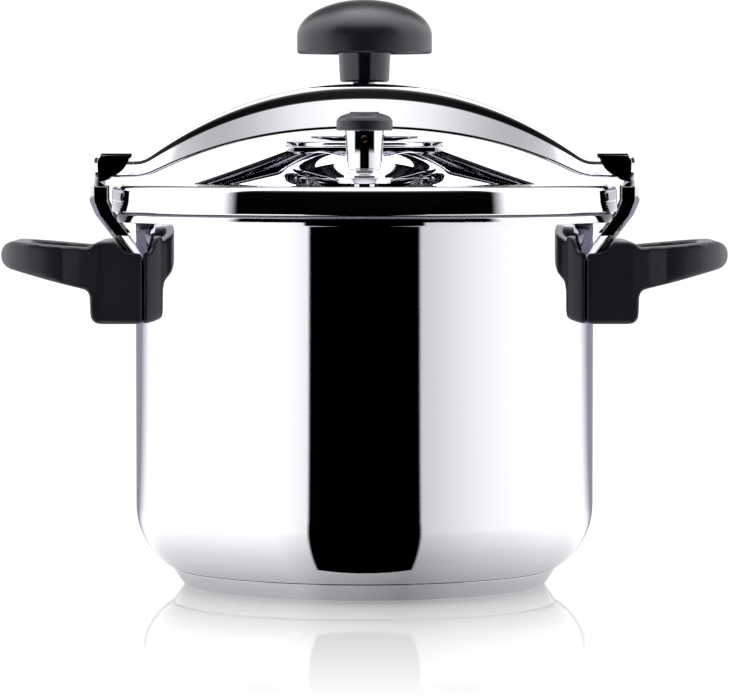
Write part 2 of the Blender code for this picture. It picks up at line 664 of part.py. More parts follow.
def bracket_profile():
    """The bracket's run as (outer radius, height, half width), from its tab to the hood's lip, and
    the sheet's other side for each point as (radius, height)."""
    sheet = BRACKET_SHEET
    reach, tail = BRACKET_RADIUS, TAIL_RADIUS
    bend_low = HANDLE_TOP - 4.4
    bend_high = LID_BOTTOM - 1.6
    hood_face = reach - HOOD_INSET
    rounding = 4.0
    lip = SKIRT_RADIUS - HOOD_LIP
    shoulder_low, shoulder_high = RIM_TOP - 0.6, RIM_TOP + 5.4
    narrow, wide, tail_wide = HOOD_HALF_WIDTH, BRACKET_HALF_WIDTH, TAIL_HALF_WIDTH
    mid_shoulder = (wide + narrow) / 2 + 2.4
    run = [
        (tail + TAB_LENGTH, TAB_TOP, tail_wide - 4, tail + TAB_LENGTH, TAB_TOP - sheet),
        (tail, TAB_TOP, tail_wide - 4, tail - sheet, TAB_TOP - sheet),
        (tail, TAB_TOP + 4, tail_wide, tail - sheet, TAB_TOP + 4),
        (tail, bend_low, tail_wide, tail - sheet, bend_low + 0.8),
        (reach - 2.8, bend_high, wide, reach - 2.8 - 1.45, bend_high + 1.6),
        (reach - 0.6, bend_high + 3.4, wide, reach - 0.6 - sheet, bend_high + 4.0),
        (reach, bend_high + 6.6, wide, reach - sheet, bend_high + 6.6),
        (reach, shoulder_low, wide, reach - sheet, shoulder_low),
        (reach - 0.7, shoulder_low + 2.4, mid_shoulder, reach - 0.7 - sheet, shoulder_low + 2.4),
        (hood_face, shoulder_high, narrow, hood_face - sheet, shoulder_high),
        (hood_face, HOOD_TOP - rounding, narrow, hood_face - sheet, HOOD_TOP - rounding),
    ]
    inner_rounding = rounding - HOOD_SHEET
    outer_arc = arc((hood_face - rounding, HOOD_TOP - rounding), rounding, 30, 90, 2)
    inner_arc = arc((hood_face - rounding, HOOD_TOP - rounding), inner_rounding, 30, 90, 2)
    for (out_r, out_z), (in_r, in_z) in zip(outer_arc, inner_arc):
        run.append((out_r, out_z, narrow, in_r, in_z))
    run.append((lip, HOOD_TOP, narrow, lip, HOOD_UNDERSIDE))
    return run


def band(radius, height, half_width, columns, rolled=0.0):
    """Points across a strip that is curved round the pot's axis and rolled in at its two edges."""
    points = []
    for j in range(columns + 1):
        across = half_width * (2 * j / columns - 1)
        roll = rolled if j in (0, columns) else 0.0
        points.append((math.sqrt(radius**2 - across**2) - roll, across, height))
    return points


def edge_outline(depth):
    """A turned-in edge of the bracket, seen from the front, from the slanting stretch to the hood."""
    inset = BRACKET_HALF_WIDTH - BRACKET_SHEET / 2
    middle = BRACKET_SHEET * 0.6
    rows = bracket_profile()[3:8]
    (low_radius, low), (high_radius, high) = rows[0][:2], rows[1][:2]
    start = 0.4  # of the way up the slanting stretch
    radii = [low_radius + (high_radius - low_radius) * start] + [row[0] for row in rows[1:]]
    heights = [low + (high - low) * start] + [row[1] - 2 * JOIN for row in rows[1:]]
    outer = [(math.sqrt(r**2 - inset**2) - middle, z) for r, z in zip(radii, heights)]
    (x, z), (top_x, top_z) = outer[0], outer[-1]
    inner = [(x - 0.8, z + 0.8)] + [(x - depth, z) for x, z in outer[1:-1]]
    return outer + [(top_x - depth * 0.4, top_z)] + [(top_x - depth, top_z - 1.5)] + list(reversed(inner))


def make_bracket(side, frame):
    sections = []
    for out_r, out_z, half_width, in_r, in_z in bracket_profile():
        outer = band(out_r, out_z, half_width, 6, EDGE_ROLL)
        inner = band(in_r, in_z, half_width, 6)
        sections.append(outer + list(reversed(inner)))
    bracket = lofted(f"bracket_{side}", sections, "steel", parent=frame, sheet=True)

    hood_face = BRACKET_RADIUS - HOOD_INSET
    at_cheek = hood_face - 0.8 - HOOD_HALF_WIDTH**2 / hood_face / 2
    lip = SKIRT_RADIUS - HOOD_LIP
    cheek = [(lip - 1.2, HOOD_TOP - 0.6), (lip + 3.4, RIM_TOP + 6.0), (lip + 6.7, RIM_TOP + 3.8)]
    cheek += [(lip + 10.8, RIM_TOP + 1.8), (at_cheek, RIM_TOP + 0.9), (at_cheek, HOOD_TOP - 4.0)]
    cheek += [(at_cheek - 2.6, HOOD_TOP - 0.6)]
    facing = -1 if side == "right" else 1
    front = facing * (HOOD_HALF_WIDTH - JOIN)
    inward = -facing * CHEEK_SHEET
    wall = side_prism(f"cheek_{side}", cheek, *sorted((front, front + inward)), parent=frame)
    combine(bracket, wall, "UNION")
    for sign, depth in ((-1, FRONT_EDGE), (1, BACK_EDGE)):
        facing = sign if side == "right" else -sign
        face = BRACKET_HALF_WIDTH - JOIN
        place = sorted((facing * face, facing * (face - BRACKET_SHEET)))
        edge = side_prism(f"edge_{side}_{sign}", edge_outline(depth), *place, parent=frame)
        combine(bracket, edge, "UNION")
    for across in (-SCREW_SPREAD, SCREW_SPREAD):
        hole = rod(
            f"tab_hole_{side}_{across:.0f}",
            SCREW_RADIUS + GAP,
            TAB_TOP - 8,
            TAB_TOP + 4,
            at=(screw_reach(), across, 0),
            parent=frame,
        )
        combine(bracket, hole)


# ---------------------------------------------------------------- side handles


def screw_reach():
    """How far the handle's screws stand from the pot's axis."""
    return TAIL_RADIUS + TAB_LENGTH / 2


def handle_side_outline():
    """The handle seen from the front: its housing against the pot, and the grip that stands out."""
    housing = POT_RADIUS + HOUSING_DEPTH
    tip = POT_RADIUS + HANDLE_REACH
    low, top = HANDLE_BOTTOM, HANDLE_TOP
    bottom_corner = arc((housing - 4.5, low + 4.5), 4.5, -90, 0, 3)
    under_grip = arc((housing + 3.2, low + 15.6), 2.8, 180, 98, 2)
    nose = arc((tip - 7.0, low + 32.6), (7.0, 6.7), -75, 90, 6)
    crest = top + 5.8
    outline = [(POT_RADIUS - 16, low)] + bottom_corner + under_grip + nose
    outline += [(housing + 16, top + 4.0), (housing - 0.4, top + 2.9), (housing - 2.0, crest - 0.9)]
    outline += [(housing - 4.4, crest), (housing - 11.0, crest), (housing - 14.5, crest - 1.0)]
    outline += [(POT_RADIUS + 3.0, top + 0.8), (POT_RADIUS - 16, top - 0.6)]
    return outline


def mirrored(half):
    """A closed plan outline from the half of it with y above zero."""
    return half + [(x, -y) for x, y in reversed(half)]


def grip_plan():
    housing = POT_RADIUS + HOUSING_DEPTH
    tip = POT_RADIUS + HANDLE_REACH
    corner = GRIP_HALF_WIDTH - 14.5
    half = [(POT_RADIUS - 16, HANDLE_HALF_WIDTH), (housing - 4, HANDLE_HALF_WIDTH + 0.6)]
    half += [(housing + 6, HANDLE_HALF_WIDTH + 3.4)]
    half += arc((tip - corner, GRIP_HALF_WIDTH - corner), corner, 100, 0, 6)
    return mirrored(half)


def finger_hole():
    housing = POT_RADIUS + HOUSING_DEPTH
    tip = POT_RADIUS + HANDLE_REACH
    corner = GRIP_HALF_WIDTH - 14.5 - GRIP_BAR
    half = arc((housing + 7.4, HANDLE_HALF_WIDTH - 13.5), 5.0, 180, 110, 2)
    half += arc((tip - GRIP_BAR - corner, GRIP_HALF_WIDTH - GRIP_BAR - corner), corner, 100, 0, 5)
    return mirrored(half)


def handle_cavity():
    """Room for the bracket, its tab and the nuts, open to the pot so that the handle slides on."""
    floor = TAB_TOP - BRACKET_SHEET - GAP
    pocket_end = TAIL_RADIUS + TAB_LENGTH + GAP + 0.6
    pocket_top = TAB_TOP + 9.0
    wall = TAIL_RADIUS + GAP + 0.4
    bend_low = HANDLE_TOP - 4.4
    bend_high = LID_BOTTOM - 1.6
    lean = (BRACKET_RADIUS - 2.8 - TAIL_RADIUS) / (bend_high - bend_low)
    over = HANDLE_TOP + 14
    outline = [(POT_RADIUS - 30, floor), (pocket_end, floor), (pocket_end, pocket_top)]
    outline += [(wall, pocket_top + 3), (wall, bend_low - 0.4)]
    outline += [(wall + lean * (over - bend_low) + 0.4, over), (POT_RADIUS - 30, over)]
    return outline


def make_handle(side, frame):
    low, high = HANDLE_BOTTOM - 5, HANDLE_TOP + 12
    handle = plan_prism(f"handle_{side}", grip_plan(), low, high, "black_phenolic", frame)
    span = GRIP_HALF_WIDTH + 10
    combine(
        handle, side_prism(f"side_{side}", handle_side_outline(), -span, span, parent=frame), "INTERSECT"
    )
    combine(handle, plan_prism(f"fingers_{side}", finger_hole(), low - 5, high + 5, parent=frame))
    pot_side = rod(f"pot_side_{side}", POT_RADIUS + GAP, 0, high + 30, steps=LARGE_STEPS, parent=frame)
    combine(handle, pot_side)
    room = TAIL_HALF_WIDTH + GAP + 0.4
    combine(handle, side_prism(f"cavity_{side}", handle_cavity(), -room, room, parent=frame))
    for across in (-SCREW_SPREAD, SCREW_SPREAD):
        at = (screw_reach(), across, 0)
        name = f"{side}_{'front' if (across < 0) == (side == 'right') else 'back'}"
        bore, recess = SCREW_RADIUS + 0.5, SCREW_HEAD + 0.5
        stepped = [(0, TAB_TOP), (bore, TAB_TOP), (bore, SCREW_SEAT), (recess, SCREW_SEAT)]
        stepped += [(recess, low - 5), (0, low - 5)]
        combine(handle, turned(f"screw_way_{name}", stepped, "steel", TINY_STEPS, at, frame))
        make_screw(name, at, frame)


def make_screw(name, at, frame):
    """A pan-head screw up through the handle and the bracket's tab, and its nut."""
    seat = SCREW_SEAT - GAP
    head = [(0, TAB_TOP + 6.4), (SCREW_RADIUS, TAB_TOP + 6.4), (SCREW_RADIUS, seat), (SCREW_HEAD, seat)]
    head += [(SCREW_HEAD, seat - 1.6), (SCREW_HEAD - 1.0, seat - 2.8), (0, seat - 3.0)]
    turned(f"handle_screw_{name}", head, "dull_steel", steps=TINY_STEPS, at=at, parent=frame)
    hexagon_nut(
        f"handle_nut_{name}",
        8.0,
        TAB_TOP + GAP,
        TAB_TOP + GAP + 4.0,
        SCREW_RADIUS + GAP,
        "dull_steel",
        at=at,
        parent=frame,
    )


def main():
    clear_scene()
    make_pot()
    make_base()
    make_lid()
    make_gasket()
    make_working_valve()
    make_safety_valve()
    make_bridge()
    make_knob(*make_foot_and_spindle())
    for side, turn in (("right", 0.0), ("left", math.pi)):
        frame = frame_empty(f"{side}_side_frame", turn=turn)
        make_bracket(side, frame)
        make_handle(side, frame)


main()
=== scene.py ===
# %% [markdown]
# # A stovetop pressure cooker with a screw-down bridge
#
# This lesson dresses a finished CAD model of a pressure cooker. The CAD pieces are plain and sharp-edged.
# Here the visible ones are modelled again with the bends, lips and rounded edges that a press, a lathe or
# a mould leaves, and each gets a material made from nodes. Every size is in millimetres in the CAD frame:
# the pot stands on z = 0, its axis is the z axis, and the working valve faces -Y.

# %% The CAD frame
import math

import bpy
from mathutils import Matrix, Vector


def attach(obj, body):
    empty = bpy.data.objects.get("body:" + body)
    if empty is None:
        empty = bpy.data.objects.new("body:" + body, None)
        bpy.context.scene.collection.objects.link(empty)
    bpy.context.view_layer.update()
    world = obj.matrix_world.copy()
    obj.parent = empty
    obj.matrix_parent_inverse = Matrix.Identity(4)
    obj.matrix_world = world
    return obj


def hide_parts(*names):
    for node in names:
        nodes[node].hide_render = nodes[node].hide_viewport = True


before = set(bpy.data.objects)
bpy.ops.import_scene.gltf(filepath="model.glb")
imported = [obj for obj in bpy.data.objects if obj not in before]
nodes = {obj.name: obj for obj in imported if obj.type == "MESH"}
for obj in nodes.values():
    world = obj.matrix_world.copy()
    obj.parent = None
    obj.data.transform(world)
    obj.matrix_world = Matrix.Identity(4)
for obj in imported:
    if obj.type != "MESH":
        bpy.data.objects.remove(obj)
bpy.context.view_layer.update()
MM = 0.001

# %% [markdown]
# An operator acts on whatever is selected, so each step first selects one piece and nothing else. A
# modifier is applied as soon as it is set, so the piece stays a plain mesh.


# %% Selecting, and applying a modifier
def only(piece):
    bpy.ops.object.select_all(action="DESELECT")
    piece.select_set(True)
    bpy.context.view_layer.objects.active = piece


def modify(piece, kind, **settings):
    only(piece)
    step = piece.modifiers.new(kind.title(), kind)
    for key, value in settings.items():
        setattr(step, key, value)
    bpy.ops.object.modifier_apply(modifier=step.name)


def cut(piece, tool, operation="DIFFERENCE"):
    modify(piece, "BOOLEAN", object=tool, operation=operation, solver="MANIFOLD")
    bpy.data.objects.remove(tool)
    print(f"  {operation.lower()}: {piece.name} now has {len(piece.data.polygons)} faces")


# %% [markdown]
# A turned, spun or drawn piece is known by its section. The section is a list of corners, each with the
# radius of its bend, and one vertex is extruded from point to point along it. That is how it would be
# drawn by hand, and the radii are what catch the light on a real edge.


# %% Sections: bends, arcs and a drawn wire
def rounded(corners, closed=True, degrees_each=9):
    """Points through (across, height, bend radius) corners."""
    points = []
    for i, corner in enumerate(corners):
        here = Vector(corner[:2])
        radius = corner[2] if len(corner) > 2 else 0
        if not radius or (not closed and i in (0, len(corners) - 1)):
            points.append(tuple(here))
            continue
        back = Vector(corners[i - 1][:2]) - here
        ahead = Vector(corners[(i + 1) % len(corners)][:2]) - here
        half = back.angle(ahead) / 2
        reach = min(radius / math.tan(half), 0.49 * back.length, 0.49 * ahead.length)
        radius = reach * math.tan(half)
        middle = (back.normalized() + ahead.normalized()).normalized()
        centre = here + middle * (radius / math.sin(half))
        spoke = here + back.normalized() * reach - centre
        turn = math.copysign(math.pi - 2 * half, back.y * ahead.x - back.x * ahead.y)
        count = max(2, math.ceil(math.degrees(abs(turn)) / degrees_each))
        for k in range(count + 1):
            c, s = math.cos(turn * k / count), math.sin(turn * k / count)
            points.append((centre.x + c * spoke.x - s * spoke.y, centre.y + s * spoke.x + c * spoke.y))
    return points


def arc(centre, radii, start, end, count):
    wide, high = radii
    angles = [math.radians(start + (end - start) * i / count) for i in range(count + 1)]
    return [(centre[0] + wide * math.cos(a), centre[1] + high * math.sin(a)) for a in angles]


def run(start, end, count):
    """Points between two corners, without them, so that a long stretch can be bent."""
    shares = [i / count for i in range(1, count)]
    return [tuple(a + (b - a) * share for a, b in zip(start, end)) for share in shares]


def wire(name, points, closed=True):
    """A wire through (x, y, z) points in mm, left open in edit mode with all of it selected."""
    bpy.ops.object.select_all(action="DESELECT")
    bpy.ops.mesh.primitive_plane_add(size=MM, location=[c * MM for c in points[0]])
    piece = bpy.context.object
    piece.name = piece.data.name = name
    bpy.ops.object.transform_apply()
    bpy.ops.object.mode_set(mode="EDIT")
    bpy.ops.mesh.select_mode(type="VERT")
    bpy.ops.mesh.merge(type="CENTER")
    path = list(points) + ([points[0]] if closed else [])
    for before, after in zip(path, path[1:]):
        step = [(b - a) * MM for a, b in zip(before, after)]
        bpy.ops.mesh.extrude_region_move(TRANSFORM_OT_translate={"value": step})
    bpy.ops.mesh.select_all(action="SELECT")
    bpy.ops.mesh.remove_doubles(threshold=1e-6)
    return piece


# %% [markdown]
# Spinning the section round an axis gives the turned piece. Where the section starts and ends on the axis
# the turned points fall together, so doubles are merged before the normals are made to face out.


# %% Turned pieces, prisms and drills
def tidy(smooth=30):
    """Closes the edit: doubles merged, faces outwards, smooth but for its true corners."""
    bpy.ops.mesh.select_all(action="SELECT")
    bpy.ops.mesh.remove_doubles(threshold=2e-6)
    bpy.ops.mesh.normals_make_consistent(inside=False)
    bpy.ops.object.mode_set(mode="OBJECT")
    bpy.ops.object.shade_smooth_by_angle(angle=math.radians(smooth))


def turned(name, corners, steps=128, centre=(0, 0)):
    on_axis = corners[0][0] == 0 and corners[-1][0] == 0
    path = rounded(corners, closed=not on_axis)
    piece = wire(name, [(centre[0] + r, centre[1], z) for r, z in path], closed=not on_axis)
    middle = (centre[0] * MM, centre[1] * MM, 0)
    bpy.ops.mesh.spin(steps=steps, angle=math.tau, use_auto_merge=True, center=middle, axis=(0, 0, 1))
    tidy()
    return piece


def prism(name, outline, depth):
    """A flat outline of (x, y, z) points, filled and pushed along depth."""
    piece = wire(name, outline)
    bpy.ops.mesh.edge_face_add()
    bpy.ops.mesh.extrude_region_move(TRANSFORM_OT_translate={"value": [c * MM for c in depth]})
    tidy()
    return piece


def drill(radius, start, end, vertices=48):
    """A round cutter from start to end, both in mm."""
    start, end = Vector(start) * MM, Vector(end) * MM
    bpy.ops.object.select_all(action="DESELECT")
    bpy.ops.mesh.primitive_cylinder_add(
        vertices=vertices,
        radius=radius * MM,
        depth=(end - start).length,
        location=(start + end) / 2,
        rotation=(end - start).to_track_quat("Z", "Y").to_euler(),
    )
    return bpy.context.object


# %% [markdown]
# Materials are named for the real stuff and how its surface was made. Colours are written as sRGB hex
# and turned to linear light. One small function adds a node with its settings, values and links.


# %% Colours, and a node with its links
def colour(code):
    channels = [int(code[i : i + 2], 16) / 255 for i in (1, 3, 5)]
    return [c / 12.92 if c <= 0.04045 else ((c + 0.055) / 1.055) ** 2.4 for c in channels] + [1.0]


def add(tree, kind, values=None, links=None, **settings):
    item = tree.nodes.new(kind)
    for key, value in settings.items():
        setattr(item, key, value)
    for socket, value in (values or {}).items():
        item.inputs[socket].default_value = value
    for socket, source in (links or {}).items():
        tree.links.new(source, item.inputs[socket])
    return item


def surface(name, code, metallic, roughness, **values):
    """A new material: its tree, its Principled node and the Object coordinates."""
    material = bpy.data.materials.new(name)
    material.use_nodes = True
    tree = material.node_tree
    shader = tree.nodes["Principled BSDF"]
    plain = {"Base Color": colour(code), "Metallic": metallic, "Roughness": roughness}
    for socket, value in {**plain, **values}.items():
        shader.inputs[socket].default_value = value
    place = add(tree, "ShaderNodeTexCoord").outputs["Object"]
    return material, tree, shader, place


def ramp(tree, source, stops):
    """A colour ramp from a value, with (position, grey or colour) stops."""
    item = add(tree, "ShaderNodeValToRGB", links={0: source})
    spread = item.color_ramp.elements
    spread.remove(spread[1])
    for i, (position, tone) in enumerate(stops):
        element = spread[0] if i == 0 else spread.new(position)
        element.position = position
        element.color = (tone, tone, tone, 1) if isinstance(tone, (int, float)) else tone
    return item.outputs[0]


# %% [markdown]
# The pot, lid, bridge and brackets are 18/10 stainless steel, pressed and then buffed to a mirror. A buffed
# mirror isn't perfect: the mop leaves hairlines under a tenth of a millimetre wide, and the pressed sheet
# under it is very slightly wavy over 20 to 40 mm. The hairlines go into the roughness and a faint bump,
# the wave into a second, wider bump, so reflections stay sharp but waver as they do on a real pot.


# %% Mirror-buffed stainless steel
def buffed_steel(name, roughness, hairline, wave):
    steel, tree, shader, place = surface(name, "#DEDDE3", 1.0, roughness)
    along = add(tree, "ShaderNodeMapping", {"Scale": (60, 60, 2400)}, {"Vector": place})
    hairs = add(tree, "ShaderNodeTexNoise", {"Scale": 4, "Detail": 2}, {"Vector": along.outputs[0]})
    cloud = add(tree, "ShaderNodeTexNoise", {"Scale": 55, "Detail": 3}, {"Vector": place})
    haze = add(
        tree,
        "ShaderNodeMapRange",
        {"To Min": roughness * 0.75, "To Max": roughness * 1.35},
        {"Value": cloud.outputs["Fac"]},
    )
    sheet = add(tree, "ShaderNodeTexNoise", {"Scale": 32, "Detail": 0}, {"Vector": place})
    slow = add(
        tree, "ShaderNodeBump", {"Strength": wave, "Distance": 0.001}, {"Height": sheet.outputs["Fac"]}
    )
    fine = add(
        tree,
        "ShaderNodeBump",
        {"Strength": hairline, "Distance": 0.00002},
        {"Height": hairs.outputs["Fac"], "Normal": slow.outputs[0]},
    )
    tree.links.new(haze.outputs["Result"], shader.inputs["Roughness"])
    tree.links.new(fine.outputs[0], shader.inputs["Normal"])
    return steel


mirror_steel = buffed_steel("stainless_steel_mirror_buffed", 0.02, 0.08, 0.003)
print("material:", mirror_steel.name)

# %% [markdown]
# Inside, the pot isn't buffed. A pad turned against it leaves rings about 0.3 mm apart, so the
# reflection is drawn out across them. The same steel, with the rings as a bump by height and a
# satin roughness, does for the pot's inside.

# %% Satin-brushed stainless steel
satin_steel, tree, shader, place = surface("stainless_steel_satin_brushed", "#D2D1D6", 1.0, 0.3)
rings = add(tree, "ShaderNodeMapping", {"Scale": (4, 4, 3300)}, {"Vector": place})
brushed = add(tree, "ShaderNodeTexNoise", {"Scale": 1, "Detail": 3}, {"Vector": rings.outputs[0]})
brushed_bump = add(
    tree, "ShaderNodeBump", {"Strength": 0.25, "Distance": 0.00005}, {"Height": brushed.outputs["Fac"]}
)
brushed_gloss = add(
    tree, "ShaderNodeMapRange", {"To Min": 0.22, "To Max": 0.4}, {"Value": brushed.outputs["Fac"]}
)
tree.links.new(brushed_bump.outputs[0], shader.inputs["Normal"])
tree.links.new(brushed_gloss.outputs["Result"], shader.inputs["Roughness"])
print("material:", satin_steel.name)

# %% [markdown]
# Screws, nuts, springs and the spindle are turned or zinc-plated steel: greyer than the pot, with tool
# marks about 0.25 mm apart that run round the piece. Plating is a little blotchy, so the colour varies
# by a few shades over 3 mm.

# %% Zinc-plated turned steel
plated_steel, tree, shader, place = surface("zinc_plated_turned_steel", "#B4B4BA", 1.0, 0.28)
blotch = add(tree, "ShaderNodeTexNoise", {"Scale": 320, "Detail": 2}, {"Vector": place})
plating = ramp(tree, blotch.outputs["Fac"], [(0.3, colour("#A2A3AA")), (0.7, colour("#C2C2C8"))])
marks = add(tree, "ShaderNodeMapping", {"Scale": (8, 8, 4000)}, {"Vector": place})
lathe = add(tree, "ShaderNodeTexNoise", {"Scale": 1, "Detail": 1}, {"Vector": marks.outputs[0]})
lathe_bump = add(
    tree, "ShaderNodeBump", {"Strength": 0.3, "Distance": 0.00006}, {"Height": lathe.outputs["Fac"]}
)
tree.links.new(plating, shader.inputs["Base Color"])
tree.links.new(lathe_bump.outputs[0], shader.inputs["Normal"])
print("material:", plated_steel.name)

# %% [markdown]
# The handles, the knob and the valve's cap are phenolic resin moulded hot in a polished tool. It comes out
# near black and satin, with a very fine grain of wood flour, about 0.3 mm, and slow flow marks. The
# grain goes into the bump, the flow marks into the roughness, so highlights are soft and a little uneven.


# %% Moulded phenolic resin
def phenolic(name, roughness, grain):
    resin, tree, shader, place = surface(name, "#161519", 0.0, roughness, **{"IOR": 1.6})
    shader.inputs["Specular Tint"].default_value = colour("#EDE9F4")
    flour = add(tree, "ShaderNodeTexNoise", {"Scale": 2600, "Detail": 2}, {"Vector": place})
    flow = add(tree, "ShaderNodeTexNoise", {"Scale": 45, "Detail": 2}, {"Vector": place})
    flecks = ramp(tree, flour.outputs["Fac"], [(0.35, colour("#121115")), (0.75, colour("#1E1C22"))])
    gloss = add(
        tree,
        "ShaderNodeMapRange",
        {"To Min": roughness * 0.85, "To Max": roughness * 1.2},
        {"Value": flow.outputs["Fac"]},
    )
    bump = add(
        tree, "ShaderNodeBump", {"Strength": grain, "Distance": 0.0001}, {"Height": flour.outputs["Fac"]}
    )
    tree.links.new(flecks, shader.inputs["Base Color"])
    tree.links.new(gloss.outputs["Result"], shader.inputs["Roughness"])
    tree.links.new(bump.outputs[0], shader.inputs["Normal"])
    return resin


satin_phenolic = phenolic("phenolic_resin_satin_moulded", 0.34, 0.12)
gloss_phenolic = phenolic("phenolic_resin_polished", 0.13, 0.02)
print("materials:", satin_phenolic.name, gloss_phenolic.name)

# %% [markdown]
# The small hidden pieces get plain but honest finishes: matt silicone with a dusting of fine specks for
# the seals, turned brass for the needle, red nylon for the warning pin, and rolled aluminium for
# the disc in the base.

# %% Silicone, brass, nylon and aluminium
silicone, tree, shader, place = surface("silicone_moulded_matt", "#A9ABB0", 0.0, 0.62, **{"IOR": 1.42})
shader.inputs["Subsurface Weight"].default_value = 0.05
dust = add(tree, "ShaderNodeTexNoise", {"Scale": 900, "Detail": 2}, {"Vector": place})
tree.links.new(
    ramp(tree, dust.outputs["Fac"], [(0.4, colour("#A2A4AA")), (0.8, colour("#B5B7BB"))]),
    shader.inputs["Base Color"],
)
turned_brass, tree, shader, place = surface("brass_turned", "#D5B266", 1.0, 0.22)
threads = add(tree, "ShaderNodeMapping", {"Scale": (8, 8, 4000)}, {"Vector": place})
tool_marks = add(tree, "ShaderNodeTexNoise", {"Scale": 1, "Detail": 1}, {"Vector": threads.outputs[0]})
marks_bump = add(
    tree, "ShaderNodeBump", {"Strength": 0.2, "Distance": 0.00005}, {"Height": tool_marks.outputs["Fac"]}
)
tree.links.new(marks_bump.outputs[0], shader.inputs["Normal"])
red_nylon, tree, shader, place = surface("nylon_moulded_red", "#B3201C", 0.0, 0.3)
flow_marks = add(tree, "ShaderNodeTexNoise", {"Scale": 400, "Detail": 1}, {"Vector": place})
nylon_gloss = add(
    tree, "ShaderNodeMapRange", {"To Min": 0.25, "To Max": 0.38}, {"Value": flow_marks.outputs["Fac"]}
)
tree.links.new(nylon_gloss.outputs["Result"], shader.inputs["Roughness"])
rolled_aluminium, tree, shader, place = surface("aluminium_rolled", "#C9CACD", 1.0, 0.36)
rolling = add(tree, "ShaderNodeMapping", {"Scale": (20, 1500, 1500)}, {"Vector": place})
roll_lines = add(tree, "ShaderNodeTexNoise", {"Scale": 1, "Detail": 2}, {"Vector": rolling.outputs[0]})
roll_bump = add(
    tree, "ShaderNodeBump", {"Strength": 0.2, "Distance": 0.00005}, {"Height": roll_lines.outputs["Fac"]}
)
tree.links.new(roll_bump.outputs[0], shader.inputs["Normal"])
print("materials:", silicone.name, turned_brass.name, red_nylon.name, rolled_aluminium.name)

# %% [markdown]
# A finished piece is painted, made to ride on its CAD body, and the CAD piece it stands for is hidden.


# %% Handing a piece over
def fit(piece, material, body, slot, *stands_for):
    piece.data.materials.clear()
    piece.data.materials.append(material)
    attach(piece, body)
    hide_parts(*stands_for)
    size = [round(side / MM, 1) for side in piece.dimensions]
    print(f"{piece.name}: {len(piece.data.polygons)} faces, {size} mm, rides on {body}")


def paint(material, *names):
    for name in names:
        for place in nodes[name].material_slots:
            place.material = material


# %% [markdown]
# The pot is drawn from one disc of sheet: a flat floor, a generous corner, a straight wall, and a flange
# that turns out over a small bend and down at its edge. Its section is drawn from the inside floor, over
# the flange and down the outside, then spun in 256 steps so that the mirror shows no facets.

# %% The drawn pot
wall_corner = (75, 38.4)
INSIDE_RADIUS = 109.15
inside = [(0, 9.3)] + arc(wall_corner, (34, 34), -58.9, 0, 10) + arc((112, 176), (3, 3), 180, 90, 6)
lip = [(119, 179, 1.6), (119, 174.3, 0.4), (118, 174.3, 0.4), (118, 177.8, 0.6)]
outside = arc((112, 175.8), (2, 2), 90, 180, 5) + arc(wall_corner, (35, 35), 0, -59.3, 14) + [(0, 8.3)]
pot = turned("drawn_pot", inside + lip + outside, steps=256)
fit(pot, mirror_steel, "pot", "polished_steel", "pot_body")
pot.data.materials.append(satin_steel)
for face in pot.data.polygons:
    reach = math.hypot(face.center.x, face.center.y)
    faces_in = face.normal.dot((face.center.x, face.center.y, -0.04)) < 0
    face.material_index = int(reach < INSIDE_RADIUS * MM and faces_in)

# %% [markdown]
# Under the pot a thin stainless cup is brazed on over the aluminium disc. It narrows towards the table, so
# it shows as a bright step with a dark joint above it.

# %% The base cup
cup = turned(
    "base_cup",
    [(0, 0), (86.8, 0, 1.2), (92.5, 8.0, 0.3), (91.7, 8.0, 0.2), (86.5, 0.8, 0.8), (0, 0.8)],
    steps=256,
)
fit(cup, mirror_steel, "pot", "polished_steel", "base_shell")

# %% [markdown]
# The lid is pressed too: a flat crown, a shallow cone, a flat rim and a skirt. Each valve stands in a
# bay where the cone has been pressed down level with the rim. The bays are made as a press makes them:
# the points round each valve are flattened to the rim's height, and proportional editing draws the cone
# round them down in a smooth flare. The cone has many rows for this to bend.

# %% The pressed lid
VALVE_REACH, FLATTENED, FLARED = 66, 14.5, 26
crown_edge, cone_foot = (34.4, 209.9), (89.3, 192.3)
over = [(0, 209.9), (34.4, 209.9, 5)] + run(crown_edge, cone_foot, 26) + [(89.3, 192.3, 4)]
over += run(cone_foot, (118, 192.3), 8) + [(121.0, 192.3, 3), (121.6, 179.3, 0.5)]
under = [(120.4, 179.3, 0.5), (119.8, 191.1, 1.8)] + run((118, 191.1), (89.1, 191.1), 8)
under += [(89.1, 191.1, 4)] + run((89.1, 191.1), (34.2, 208.7), 26) + [(34.2, 208.7, 4), (0, 208.7)]
lid = turned("pressed_lid", over + under, steps=256)
bpy.context.tool_settings.mesh_select_mode = (True, False, False)
for side in (-1, 1):
    for level, outer in ((192.8, True), (191.6, False)):
        only(lid)
        bpy.ops.object.mode_set(mode="EDIT")
        bpy.ops.mesh.select_all(action="DESELECT")
        bpy.ops.object.mode_set(mode="OBJECT")
        for point in lid.data.vertices:
            away = math.hypot(point.co.x, point.co.y - side * VALVE_REACH * MM)
            reach = math.hypot(point.co.x, point.co.y)
            cone = 0.2099 - (reach - 0.0344) * 17.6 / 54.9
            face_height = 0.0006 + min(0.2099, max(0.1923, cone)) - 0.0012
            point.select = away < FLATTENED * MM and (point.co.z > face_height) == outer
        bpy.ops.object.mode_set(mode="EDIT")
        bpy.ops.transform.resize(
            value=(1, 1, 0),
            center_override=(0, side * VALVE_REACH * MM, level * MM),
            use_proportional_edit=True,
            proportional_edit_falloff="SMOOTH",
            proportional_size=FLARED * MM,
            use_proportional_connected=True,
        )
        bpy.ops.object.mode_set(mode="OBJECT")
    cut(lid, drill(5.4, (0, side * VALVE_REACH, 180), (0, side * VALVE_REACH, 205)))
only(lid)
bpy.ops.object.shade_smooth_by_angle(angle=math.radians(30))
fit(lid, mirror_steel, "lid", "polished_steel", "lid_shell")

